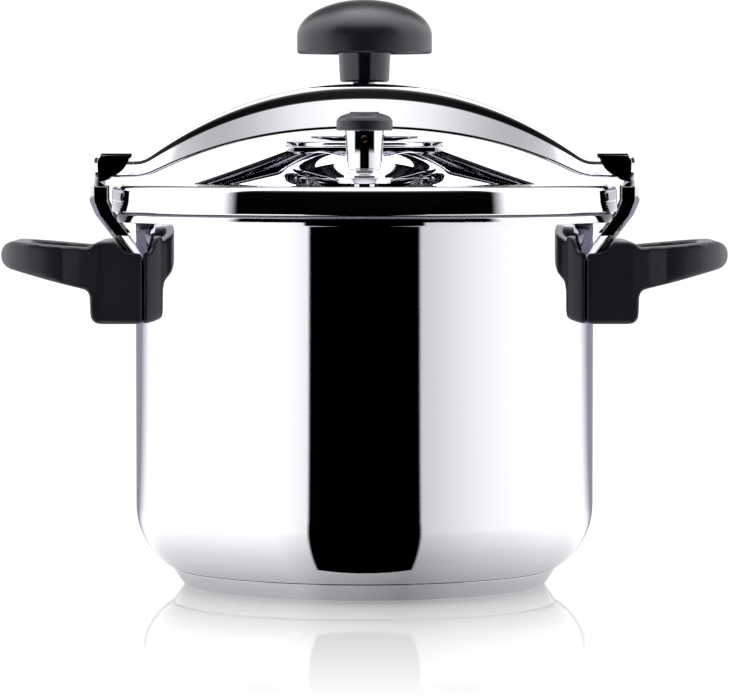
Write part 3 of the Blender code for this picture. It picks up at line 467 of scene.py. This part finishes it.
# %% [markdown]
# A thick round plate on the crown takes the screw's thrust. The screw's foot above it is a shallow dish
# with a hub, and a channel ring of silicone seals the rim. All three are turned.

# %% Plate, foot and gasket
plate = turned("thrust_plate", [(0, 212.6), (38, 212.6, 0.7), (38, 210.2, 0.5), (0, 210.2)], steps=192)
fit(plate, mirror_steel, "lid", "polished_steel", "lid_plate")
dish = [(0, 212.9), (16, 212.9, 4), (23.8, 213.8, 3), (26, 214.3, 0.5), (26, 215.1, 0.5)]
dish += [(24.4, 215.2, 0.6), (15, 214.4, 4), (10.7, 214.5, 1), (9.5, 215.7, 1), (9.5, 221.5, 0.8)]
dish += [(6.0, 221.5, 0.3)]
dish += [(6.0, 218.8), (7.0, 218.7), (7.0, 217.1), (6.0, 217.0), (6.0, 214.5), (0, 214.5)]
foot = turned("thrust_foot", dish, steps=160)
fit(foot, mirror_steel, "foot", "polished_steel", "pressure_foot")
lip_ring = [(107.7, 179.3, 0.5), (107.7, 183.3, 0.4), (114.2, 184.5, 0.6), (114.2, 186.1, 0.6)]
lip_ring += [(107.7, 187.3, 0.4), (107.7, 190.8, 0.6), (117.7, 190.8, 0.8), (120.1, 188.4, 0.8)]
lip_ring += [(120.1, 179.3, 0.5)]
seal = turned("lip_gasket", lip_ring, steps=192)
fit(seal, silicone, "lid", "silicone", "gasket")

# %% [markdown]
# The bridge is pressed from 2 mm sheet into an arched channel. Below a short upright shoulder its sides
# splay out, as a press tool needs to let go of them, and end in an upright edge. So the shoulder mirrors
# the dark front, the splayed side mirrors the bright room above, and the edge draws a dark line. The
# section is drawn once at the left end, then extruded along X station by station, and each new station
# is resized and lifted to the arch's width and height.

# %% The arched bridge
REACH, HALF = 105.5, 119.9


def arch(x, height, power):
    rise = height * (1 - (abs(x) / REACH) ** power)
    return rise if rise > 2.5 else max(0.0, rise + 2.5) ** 2 / 10


def bridge_size(x):
    """Half width, lower edge and height of the bridge at x."""
    share = (1 + math.cos(math.pi * abs(x) / HALF)) / 2
    low = 196.4 + arch(x, 22.5, 2.3)
    return 16.5 + 16.0 * share, low, 204.2 + arch(x, 36, 2.15) - low


half_section = [(16.5, 196.4), (16.5, 196.8, 0.3), (12.8, 201.6, 0.8), (12.2, 204.2, 2.2)]
section = rounded(half_section + [(-y, z, *r) for y, z, *r in reversed(half_section)], closed=False)
bridge = wire("arched_bridge", [(-HALF, y, z) for y, z in section], closed=False)
stations = [HALF * (2 * i / 96 - 1) for i in range(97)]
for here, there in zip(stations, stations[1:]):
    (wide, low, high), (next_wide, next_low, next_high) = bridge_size(here), bridge_size(there)
    step = ((there - here) * MM, 0, (next_low - low) * MM)
    bpy.ops.mesh.extrude_region_move(TRANSFORM_OT_translate={"value": step})
    bpy.ops.transform.resize(
        value=(1, next_wide / wide, next_high / high), center_override=(there * MM, 0, next_low * MM)
    )
bpy.ops.mesh.select_all(action="SELECT")
bpy.ops.mesh.normals_make_consistent(inside=False)
bpy.ops.object.mode_set(mode="OBJECT")
top_face = max(bridge.data.polygons, key=lambda face: face.center.z)
if top_face.normal.z < 0:
    only(bridge)
    bpy.ops.object.mode_set(mode="EDIT")
    bpy.ops.mesh.flip_normals()
    bpy.ops.object.mode_set(mode="OBJECT")
modify(bridge, "SOLIDIFY", thickness=0.002, offset=-1, use_even_offset=True)
modify(bridge, "BEVEL", width=0.0003, segments=2, limit_method="ANGLE", angle_limit=math.radians(50))
cut(bridge, drill(8.6, (0, 0, 225), (0, 0, 250), 96))
only(bridge)
bpy.ops.object.shade_smooth_by_angle(angle=math.radians(35))
fit(bridge, mirror_steel, "bridge", "polished_steel", "bridge_bar")

# %% [markdown]
# The threaded bush in the bridge and the screw in it are turned parts. The screw's thread is cut with a
# 2.5 mm pitch. It could be one tooth carried round by the Screw modifier, and that is how it is made
# here: a tooth's section, wound up for the length that shows, round a plain core.

# %% Bush and screw
bush_section = [(6.0, 240.2, 0.4), (8.3, 240.2, 0.3), (8.3, 237.3), (12.3, 237.3, 0.3)]
bush_section += [(12.3, 230.3, 0.6), (11.3, 229.3, 0.4), (6.0, 229.3, 0.4)]
bush = turned("bridge_bush", bush_section, steps=96)
fit(bush, plated_steel, "bridge", "turned_steel", "bridge_nut")
core = [(0, 271.4), (4.0, 271.4, 0.5), (4.0, 252.8, 0.2), (5.7, 252.8, 0.3), (5.7, 249.0, 0.3)]
core += [(4.9, 248.2, 0.3), (4.9, 220.4, 0.3), (5.7, 219.6, 0.3), (5.7, 218.7, 0.2), (4.5, 218.7, 0.2)]
core += [(4.5, 217.1, 0.2), (5.7, 217.1, 0.2), (5.7, 216.1, 0.3), (4.3, 214.8, 0.4), (0, 214.8)]
screw = turned("threaded_spindle", core, steps=64)
tooth = [(4.7, 0, 221.0), (5.65, 0, 222.0), (5.65, 0, 222.5), (4.7, 0, 223.5)]
thread = wire("thread", tooth, closed=True)
bpy.ops.object.mode_set(mode="OBJECT")
modify(
    thread,
    "SCREW",
    screw_offset=0.0025,
    iterations=10,
    steps=48,
    render_steps=48,
    use_merge_vertices=False,
    use_normal_calculate=True,
)
only(thread)
bpy.ops.object.mode_set(mode="EDIT")
bpy.ops.mesh.select_all(action="DESELECT")
bpy.ops.mesh.select_non_manifold()
bpy.ops.mesh.fill()
tidy()
cut(screw, thread, "UNION")
only(screw)
bpy.ops.object.shade_smooth_by_angle(angle=math.radians(35))
fit(screw, plated_steel, "knob", "turned_steel", "spindle")

# %% [markdown]
# The knob is moulded hollow, as a mushroom: a domed cap with a short skirt, and a stem down the middle.
# Its dome is a quarter of an ellipse. The disc in its top covers the nut, and sits 0.3 mm clear all
# round, which draws a fine dark ring. Both are spun.

# %% The knob and its disc
dome = ((0, 263.4), (32.4, 17.3))
cap_section = arc(*dome, 62.8, 0, 22) + [(32.4, 255.6, 0.8), (31.4, 254.8, 0.6), (29.2, 254.8, 0.5)]
cap_section += [(28.8, 263.4, 2), (25.2, 266.4, 2), (13.0, 266.4, 1.5), (12.5, 254.8, 1), (11.8, 242.0, 0.5)]
cap_section += [(11.1, 241.2, 0.3), (6.0, 241.2, 0.3), (6.0, 253.1), (4.3, 253.1), (4.3, 263.8)]
cap_section += [(10.4, 263.8), (10.4, 278.1, 0.2), (14.8, 278.1, 0.2)]
knob = turned("screw_knob", cap_section, steps=192)
fit(knob, satin_phenolic, "knob", "black_phenolic", "knob_body")
knob.data.materials.append(gloss_phenolic)
for face in knob.data.polygons:
    reach = math.hypot(face.center.x, face.center.y) / MM
    face.material_index = int(reach < 13.2 and face.center.z < 0.2668)
disc_section = [(0, 280.7)] + arc(*dome, 86, 66, 8)
disc_section += [(14.45, 278.9, 0.3), (14.45, 278.4, 0.1), (0, 278.4)]
disc = turned("knob_cover", disc_section, steps=160)
fit(disc, satin_phenolic, "knob", "gloss_phenolic", "knob_disc")

# %% [markdown]
# The working valve is a turned tube with a neck at its foot and a drilled steam hole, held in a dished
# collar. Its cap is moulded, with fine ribs on the crown for a fork or a finger to grip. Every second pair
# of point columns over the crown is lowered by just under half a millimetre, which leaves the ribs standing.

# %% The working valve
valve_place = (0, -VALVE_REACH)
STEAM_HEIGHT = 214.2
collar_section = [(5.1, 193.1), (12.2, 193.1, 0.8), (13.5, 195.9, 0.3), (12.9, 196.1, 0.3)]
collar_section += [(11.4, 194.5, 0.8), (9.9, 194.7, 0.6), (9.4, 197.3, 0.6), (5.1, 197.3, 0.2)]
collar = turned("valve_dish", collar_section, steps=128, centre=valve_place)
fit(collar, mirror_steel, "lid", "polished_steel", "valve_collar")
tube_section = [(5.6, 221, 0.3), (8.75, 221, 0.5), (8.75, 200.2, 0.5), (7.45, 199.2, 0.6)]
tube_section += [(8.3, 198.2, 0.3), (7.9, 197.6, 0.2), (4.8, 197.6), (4.8, 182.6, 0.4)]
tube_section += [(1.9, 182.6), (1.9, 200.2), (5.6, 200.2)]
tube = turned("valve_tube", tube_section, steps=128, centre=valve_place)
cut(tube, drill(1.7, (0, -80, STEAM_HEIGHT), (0, -VALVE_REACH, STEAM_HEIGHT)))
cut(tube, drill(1.25, (0, -VALVE_REACH, STEAM_HEIGHT), (0, -52, STEAM_HEIGHT)))
cut(tube, drill(1.25, (-14, -VALVE_REACH, STEAM_HEIGHT), (14, -VALVE_REACH, STEAM_HEIGHT)))
only(tube)
bpy.ops.object.shade_smooth_by_angle(angle=math.radians(30))
fit(tube, mirror_steel, "lid", "polished_steel", "valve_body")
grip_section = [(0, 226.7), (6.5, 226.7)] + arc((0, 222.9), (12.7, 3.8), 56, 6, 12)
grip_section += [(13.1, 222.6, 0.4), (13.1, 218.4, 0.4), (12.7, 218.0, 0.3), (9.25, 218.0, 0.3)]
grip_section += [(9.25, 222.2), (2.5, 222.2), (2.5, 224.4), (0, 224.4)]
grip = turned("valve_grip", grip_section, steps=144, centre=valve_place)
only(grip)
bpy.ops.object.mode_set(mode="EDIT")
bpy.ops.mesh.select_all(action="DESELECT")
bpy.ops.object.mode_set(mode="OBJECT")
for point in grip.data.vertices:
    column = round(math.degrees(math.atan2(point.co.y + VALVE_REACH * MM, point.co.x)) / 2.5)
    reach = math.hypot(point.co.x, point.co.y + VALVE_REACH * MM) / MM
    point.select = column % 4 < 2 and 6.0 < reach < 11.6 and point.co.z > 0.2244
bpy.ops.object.mode_set(mode="EDIT")
bpy.ops.transform.translate(value=(0, 0, -0.00045))
tidy(25)
fit(grip, satin_phenolic, "valve_lifter", "black_phenolic", "valve_cap")

# %% [markdown]
# The safety valve stands in the back bay. It is a low turned button on a flange, with a red pin that
# stands just proud of it.

# %% The safety valve
button_section = [(2.0, 202.1, 0.2), (5.2, 202.1, 0.4), (6.8, 200.5, 0.4), (6.8, 195.1, 0.4)]
button_section += [(10.8, 195.1, 0.4), (10.8, 193.1, 0.2), (4.8, 193.1), (4.8, 182.6, 0.3)]
button_section += [(2.4, 182.6), (2.4, 183.8)]
button_section += [(3.6, 183.8), (3.6, 200.3), (2.0, 200.3)]
button = turned("safety_button", button_section, steps=96, centre=(0, VALVE_REACH))
fit(button, mirror_steel, "lid", "polished_steel", "safety_valve_body")

# %% [markdown]
# Each bracket is one blank of 2 mm sheet, bent up from a tab under the handle, out past the lid's rim and
# over into a hood. Its run is drawn beside the handle and spun through a few degrees, because it
# follows the pot's curve. Half of it is made, trimmed to the blank's outline with bisecting planes, and
# mirrored. The long edges are then turned in by extruding them, deeper at the front than at the back,
# and the sheet gets its thickness last. The sloping fourth trim should end where the hood begins. It
# runs on through the hood's top, which leaves that as a narrow tongue.

# %% One bracket
SCREW_REACH, SCREW_SPREAD = 118.5, 15
BRACKET = [(124.7, 137.4), (112.3, 137.4, 2.4), (112.3, 155.2, 7), (129.4, 177.7, 9), (132.2, 184.3, 5)]
BRACKET += [(132.2, 191.7, 4), (129.8, 197.7, 4), (129.8, 207.0, 4), (111.8, 207.0)]
TRIMS = [((0, 25, 0), (0, 1, 0), 0, 140), ((0, 29, 0), (0, 1, 0), 0, 156.5)]
TRIMS += [((0, 31.9, 0), (0, 1, 0), 0, 250)]
TRIMS += [((0, 31.9, 192.2), (0, 0.45, 0.89), 190, 250), ((0, 20, 0), (0, 1, 0), 197.2, 250)]


def pick(piece, test):
    """Selects the faces that pass a test of their centre in mm, and goes into edit mode."""
    only(piece)
    bpy.ops.object.mode_set(mode="EDIT")
    bpy.ops.mesh.select_mode(type="FACE")
    bpy.ops.mesh.select_all(action="DESELECT")
    bpy.ops.object.mode_set(mode="OBJECT")
    for face in piece.data.polygons:
        face.select = test(*[c / MM for c in face.center])
    bpy.ops.object.mode_set(mode="EDIT")


path = rounded(BRACKET, closed=False, degrees_each=6)
dense = [path[0]]
for before, after in zip(path, path[1:]):
    parts = max(1, math.ceil(math.dist(before, after) / 3))
    dense += run(before, after, parts) + [after]
bracket = wire("bracket_right_sheet", [(r, 0, z) for r, z in dense], closed=False)
bpy.ops.mesh.spin(steps=16, angle=-math.radians(17), center=(0, 0, 0), axis=(0, 0, 1))
bpy.ops.object.mode_set(mode="OBJECT")
for plane_at, facing, low, high in TRIMS:
    pick(bracket, lambda x, y, z: low <= z <= high)
    bpy.ops.mesh.bisect(plane_co=[c * MM for c in plane_at], plane_no=facing, clear_outer=True)
    bpy.ops.object.mode_set(mode="OBJECT")
modify(bracket, "MIRROR", use_axis=(False, True, False), merge_threshold=1e-5)
print("bracket blank:", [round(d / MM, 1) for d in bracket.dimensions])

# %% Turned-in edges, thickness and rolled rims
only(bracket)
bpy.ops.object.mode_set(mode="EDIT")
bpy.ops.mesh.select_mode(type="EDGE")
for side, depth in ((-1, 6.2), (1, 3.8)):
    bpy.ops.mesh.select_all(action="DESELECT")
    bpy.ops.object.mode_set(mode="OBJECT")
    points = bracket.data.vertices
    for edge in bracket.data.edges:
        ends = [points[i].co / MM for i in edge.vertices]
        edge.select = all(side * p.y > 31.85 and 166 < p.z < 191.5 for p in ends)
    bpy.ops.object.mode_set(mode="EDIT")
    bpy.ops.mesh.extrude_region_move(TRANSFORM_OT_translate={"value": (-0.0015, -side * 0.0001, 0)})
    bpy.ops.mesh.extrude_region_move(TRANSFORM_OT_translate={"value": (-(depth - 1.5) * MM, 0, 0)})
bpy.ops.mesh.select_all(action="SELECT")
bpy.ops.mesh.remove_doubles(threshold=1e-6)
bpy.ops.mesh.normals_make_consistent(inside=False)
bpy.ops.object.mode_set(mode="OBJECT")
outer_face = max(bracket.data.polygons, key=lambda face: face.center.x)
if outer_face.normal.x < 0:
    only(bracket)
    bpy.ops.object.mode_set(mode="EDIT")
    bpy.ops.mesh.select_all(action="SELECT")
    bpy.ops.mesh.flip_normals()
    bpy.ops.object.mode_set(mode="OBJECT")
modify(bracket, "SOLIDIFY", thickness=0.002, offset=-1)
modify(bracket, "BEVEL", width=0.0005, segments=3, limit_method="ANGLE", angle_limit=math.radians(50))

# %% [markdown]
# The hood's front is closed by a cheek, folded down and cut to a curve so that the bridge's end can slide
# in behind it. It is a flat plate with a rounded rim, joined to the hood.

# %% The hood's cheek, and the left bracket as a mirrored copy
cheek_outline = [(110.8, 206.5), (115.2, 198.5, 12), (122.6, 194.3, 10), (127.3, 193.3, 1)]
cheek_outline += [(127.4, 204.0, 2), (125.4, 206.3, 2)]
cheek = prism("cheek", [(x, -19.9, z) for x, z in rounded(cheek_outline, degrees_each=8)], (0, 1.8, 0))
modify(cheek, "BEVEL", width=0.0004, segments=2, limit_method="ANGLE", angle_limit=math.radians(50))
cut(bracket, cheek, "UNION")
for across in (-SCREW_SPREAD, SCREW_SPREAD):
    cut(bracket, drill(2.7, (SCREW_REACH, across, 130), (SCREW_REACH, across, 145)))
only(bracket)
bpy.ops.object.shade_smooth_by_angle(angle=math.radians(35))


def mirror_copy(piece, name):
    """A left-hand copy with its own mesh, turned the right way out again."""
    only(piece)
    bpy.ops.object.duplicate()
    copy = bpy.context.object
    copy.name = copy.data.name = name
    bpy.ops.transform.mirror(constraint_axis=(True, False, False), center_override=(0, 0, 0))
    bpy.ops.object.transform_apply()
    bpy.ops.object.mode_set(mode="EDIT")
    bpy.ops.mesh.select_all(action="SELECT")
    bpy.ops.mesh.normals_make_consistent(inside=False)
    bpy.ops.object.mode_set(mode="OBJECT")
    return copy


left_bracket = mirror_copy(bracket, "bracket_left_sheet")
fit(bracket, mirror_steel, "pot", "polished_steel", "bracket_right")
fit(left_bracket, mirror_steel, "pot", "polished_steel", "bracket_left")

# %% [markdown]
# A side handle is one moulding: a housing that grips the bracket, and a loop for the fingers. Its outline
# from above and its outline from the front are two prisms, and what both hold is the handle. The
# finger hole and the room for the bracket are cut out of it. A moulding has no sharp edges, so the
# block is remeshed into even small faces and smoothed, which rounds every edge.

# %% One side handle
plan_half = [(94, 33.5), (125.9, 34.1, 8), (135.9, 36.9, 10)]
plan_half += arc((147.3, 14.5), (26.5, 26.5), 100, 0, 14)
hole_half = [(132.3, 20, 0)] + arc((137.3, 20), (5, 5), 165, 110, 4)
hole_half += arc((147.3, 14.5), (14, 14), 100, 0, 10)
front_view = [(94, 126.1), (129.9, 126.1, 4.5), (130.6, 142.0, 3.5), (160, 150.0, 40)]
front_view += arc((166.8, 158.7), (7.0, 6.7), -72, 90, 8) + [(145.9, 163.6, 30), (130.5, 162.4, 5)]
front_view += [(128.4, 164.6, 2), (125.5, 165.4, 3), (118.9, 165.4, 4), (113.0, 160.2, 4), (94, 158.8)]


def both_halves(half, height):
    half = rounded(half, closed=False)
    return [(x, y, height) for x, y in half] + [(x, -y, height) for x, y in reversed(half) if y > 0]


handle = prism("handle_right_moulding", both_halves(plan_half, 118), (0, 0, 60))
side_block = prism("side_view", [(x, -50, z) for x, z in rounded(front_view)], (0, 100, 0))
cut(handle, side_block, "INTERSECT")
cut(handle, prism("fingers", both_halves(hole_half, 110), (0, 0, 80)))
cut(handle, drill(110.3, (0, 0, 100), (0, 0, 190), 256))
room = [(80, 135.1), (125.6, 135.1), (125.6, 146.4), (113.0, 149.4), (113.0, 154.8)]
room += [(127.9, 173.6), (80, 173.6)]
cut(handle, prism("room", [(x, -29.7, z) for x, z in room], (0, 59.4, 0)))
modify(handle, "REMESH", mode="VOXEL", voxel_size=0.00075, use_smooth_shade=True)
modify(handle, "SMOOTH", factor=0.5, iterations=14)
for across in (-SCREW_SPREAD, SCREW_SPREAD):
    cut(handle, drill(5.1, (SCREW_REACH, across, 110), (SCREW_REACH, across, 130.3), 48))
    cut(handle, drill(2.9, (SCREW_REACH, across, 128), (SCREW_REACH, across, 140), 32))
only(handle)
bpy.ops.object.shade_smooth_by_angle(angle=math.radians(40))
left_handle = mirror_copy(handle, "handle_left_moulding")
fit(handle, satin_phenolic, "pot", "black_phenolic", "handle_right")
fit(left_handle, satin_phenolic, "pot", "black_phenolic", "handle_left")

# %% [markdown]
# The small pieces that stay as the CAD made them get their finishes: plated steel for fasteners, springs
# and rings, silicone for the valves' seals, brass, nylon and aluminium.

# %% Finishes for the small pieces
fasteners = [name for name in nodes if name.startswith(("handle_screw", "handle_nut"))]
fasteners += ["foot_ring", "knob_nut", "knob_washer", "valve_bush", "valve_nut", "safety_nut"]
paint(plated_steel, "valve_spring", "safety_spring", *fasteners)
paint(silicone, "valve_seal", "safety_seal")
paint(turned_brass, "valve_needle")
paint(red_nylon, "safety_pin")
paint(rolled_aluminium, "base_core")
print("painted", len(fasteners) + 7, "small CAD pieces")

# %% [markdown]
# The studio. Polished steel shows only what stands round it, so the room matters more than the lamps: a
# bright ceiling, bright walls at the sides, and a dark opening in front. Behind, it is pale low down and
# dark above. The room is the world's light, made from the direction alone: its height picks the tone
# from a ramp, and its bearing picks the front, side or back ramp.

# %% The room's light
world = bpy.data.worlds.new("studio_room")
bpy.context.scene.world = world
world.use_nodes = True
room_tree = world.node_tree
toward = add(room_tree, "ShaderNodeTexCoord").outputs["Generated"]
split = add(room_tree, "ShaderNodeSeparateXYZ", links={0: toward})
front_ward = add(room_tree, "ShaderNodeMath", {1: -1.0}, {0: split.outputs["Y"]}, operation="MULTIPLY")
bearing = add(
    room_tree, "ShaderNodeMath", links={0: split.outputs["X"], 1: front_ward.outputs[0]}, operation="ARCTAN2"
)
turned_away = add(room_tree, "ShaderNodeMath", links={0: bearing.outputs[0]}, operation="ABSOLUTE")
from_front = add(room_tree, "ShaderNodeMath", {1: math.pi}, {0: turned_away.outputs[0]}, operation="DIVIDE")
share = from_front.outputs[0]
height = split.outputs["Z"]
BRIGHTEST = 6.0
front_tone = ramp(
    room_tree, height, [(0.0, 0.0), (0.35, 0.001), (0.66, 0.02), (0.78, 0.2), (0.97, 0.4), (1.0, 0.6)]
)
side_tone = ramp(room_tree, height, [(0.0, 0.24), (0.5, 0.32), (0.85, 0.4), (1.0, 0.6)])
back_tone = ramp(
    room_tree,
    height,
    [(0.0, 0.17), (0.2, 0.26), (0.34, 0.05), (0.5, 0.01), (0.78, 0.012), (0.87, 0.7), (1.0, 0.6)],
)
to_side = ramp(room_tree, share, [(0.33, 0.0), (0.37, 1.0), (0.78, 1.0), (0.84, 0.0)])
to_back = ramp(room_tree, share, [(0.78, 0.0), (0.84, 1.0)])
mixed = add(room_tree, "ShaderNodeMix", links={0: to_side, 6: front_tone, 7: side_tone}, data_type="RGBA")
room_tone = add(
    room_tree, "ShaderNodeMix", links={0: to_back, 6: mixed.outputs[2], 7: back_tone}, data_type="RGBA"
)
background = room_tree.nodes["Background"]
background.inputs["Strength"].default_value = BRIGHTEST
room_tree.links.new(room_tone.outputs[2], background.inputs["Color"])
print("room ready, brightest", BRIGHTEST)

# %% [markdown]
# The floor is a pale glossy sheet. The eye sees it white with a faint mirror image, and the steel sees a
# card just under it, dark in a wedge in front and brighter out to the sides. The card glows with a painted
# reflection and a painted contact shadow, and stands for the floor as the steel would see it. The card is
# seen only in reflections, the floor only by the eye and by soft light, so each can be matched on its own.


# %% The floor and its card
def staged(name, radius, height, material, eye, mirror, soft):
    bpy.ops.object.select_all(action="DESELECT")
    bpy.ops.mesh.primitive_circle_add(
        vertices=96, radius=radius, fill_type="NGON", location=(0, 0, height)
    )
    piece = bpy.context.object
    piece.name = piece.data.name = name
    bpy.ops.object.transform_apply()
    piece.data.materials.append(material)
    piece.visible_camera, piece.visible_glossy, piece.visible_diffuse = eye, mirror, soft
    piece.visible_shadow = piece.visible_transmission = piece.visible_volume_scatter = False
    return piece


floor_paint, tree, shader, place = surface("floor_glossy_white", "#FFFFFF", 0.0, 0.9)
shader.inputs["Base Color"].default_value = (0.5, 0.5, 0.5, 1)
shader.inputs["Emission Color"].default_value = (1, 1, 1, 1)
shader.inputs["Emission Strength"].default_value = 0.36
shine = add(tree, "ShaderNodeBsdfGlossy", {"Color": (1, 1, 1, 1), "Roughness": 0.05})
away = add(tree, "ShaderNodeVectorMath", links={0: place}, operation="LENGTH").outputs["Value"]
polish = ramp(tree, away, [(0.09, 0.55), (0.2, 0.45), (0.45, 0.15)])
coat = add(tree, "ShaderNodeMixShader", links={0: polish, 1: shader.outputs[0], 2: shine.outputs[0]})
tree.links.new(coat.outputs[0], tree.nodes["Material Output"].inputs["Surface"])
floor = staged("studio_floor", 14, -0.0002, floor_paint, True, False, True)
floor.visible_shadow = True

card_paint, tree, shader, place = surface("floor_card", "#FFFFFF", 0.0, 1.0)
wedge = add(tree, "ShaderNodeMapping", {"Location": (0, 0.05, 0)}, {"Vector": place})
flat = add(tree, "ShaderNodeSeparateXYZ", links={0: wedge.outputs[0]})
ahead = add(tree, "ShaderNodeMath", {1: -1.0}, {0: flat.outputs["Y"]}, operation="MULTIPLY")
card_bearing = add(
    tree, "ShaderNodeMath", links={0: flat.outputs["X"], 1: ahead.outputs[0]}, operation="ARCTAN2"
)
card_share = add(
    tree,
    "ShaderNodeMapRange",
    {"From Min": -math.pi, "From Max": math.pi},
    {"Value": card_bearing.outputs[0]},
).outputs["Result"]
# Painted reflection: by bearing round the pot the card is grey behind and near white to the sides. It is
# dimmed to half in the wedge in front, where the floor would mirror the dark front of the room.
BEHIND = (0.2, 0.2, 0.245, 1)
painted_floor_reflection_tone = ramp(
    tree,
    card_share,
    [(0.0, BEHIND), (0.085, BEHIND), (0.13, 0.95), (0.38, 0.95), (0.425, 0.72), (0.575, 0.5)]
    + [(0.66, 0.75), (0.76, 0.95), (0.87, 0.95), (0.915, BEHIND)],
)
# Painted reflection: the card is black in a narrow band straight ahead, from just clear of the base
# outwards.
painted_reflection_band = ramp(tree, card_share, [(0.4245, 0.0), (0.4255, 1.0), (0.5745, 1.0), (0.5755, 0.0)])
clear_of_base = add(tree, "ShaderNodeMath", {1: 0.0493}, {0: ahead.outputs[0]}, operation="GREATER_THAN")
dark = add(
    tree, "ShaderNodeMath", links={0: painted_reflection_band, 1: clear_of_base.outputs[0]}, operation="MULTIPLY"
).outputs[0]
card_light = add(
    tree, "ShaderNodeMix", {7: (0, 0, 0, 1)}, {0: dark, 6: painted_floor_reflection_tone}, data_type="RGBA"
).outputs[2]
from_axis = add(tree, "ShaderNodeVectorMath", links={0: place}, operation="LENGTH").outputs["Value"]
# Painted contact shadow: the card glows less close to the pot's foot, from 0.38 at the base to full strength
# 0.2 m out.
painted_contact_shadow = ramp(tree, from_axis, [(0.088, 0.38), (0.105, 0.55), (0.135, 0.78), (0.2, 1.0)])
strength = add(tree, "ShaderNodeMath", {1: 1.6}, {0: painted_contact_shadow}, operation="MULTIPLY")
glow = add(tree, "ShaderNodeEmission", links={"Color": card_light, "Strength": strength.outputs[0]})
tree.links.new(glow.outputs[0], tree.nodes["Material Output"].inputs["Surface"])
staged("floor_card", 10, -0.0006, card_paint, False, True, False)

backdrop_paint, tree, shader, place = surface("backdrop_white", "#FFFFFF", 0.0, 1.0)
white = add(tree, "ShaderNodeEmission", {"Strength": 1.05, "Color": (1, 1, 1, 1)})
tree.links.new(white.outputs[0], tree.nodes["Material Output"].inputs["Surface"])
bpy.ops.object.select_all(action="DESELECT")
bpy.ops.mesh.primitive_uv_sphere_add(segments=48, ring_count=24, radius=16)
backdrop = bpy.context.object
backdrop.name = backdrop.data.name = "white_backdrop"
backdrop.data.materials.append(backdrop_paint)
backdrop.visible_glossy = backdrop.visible_diffuse = backdrop.visible_shadow = False
backdrop.visible_transmission = backdrop.visible_volume_scatter = False
print("floor, card and backdrop staged")

# %% [markdown]
# The camera stands a little over two metres in front, at the height of the lid's crown, and looks
# slightly down. A long lens keeps the handles from looming.

# %% Camera and view transform
bpy.ops.object.camera_add(location=(0, -2.150, 0.2193), rotation=(math.radians(90 - 2.85), 0, 0))
camera = bpy.context.object
camera.name = "front_camera"
camera.data.sensor_width = 36
camera.data.lens = 220.5
camera.data.clip_end = 60
scene = bpy.context.scene
scene.camera = camera
scene.view_settings.view_transform = "Standard"
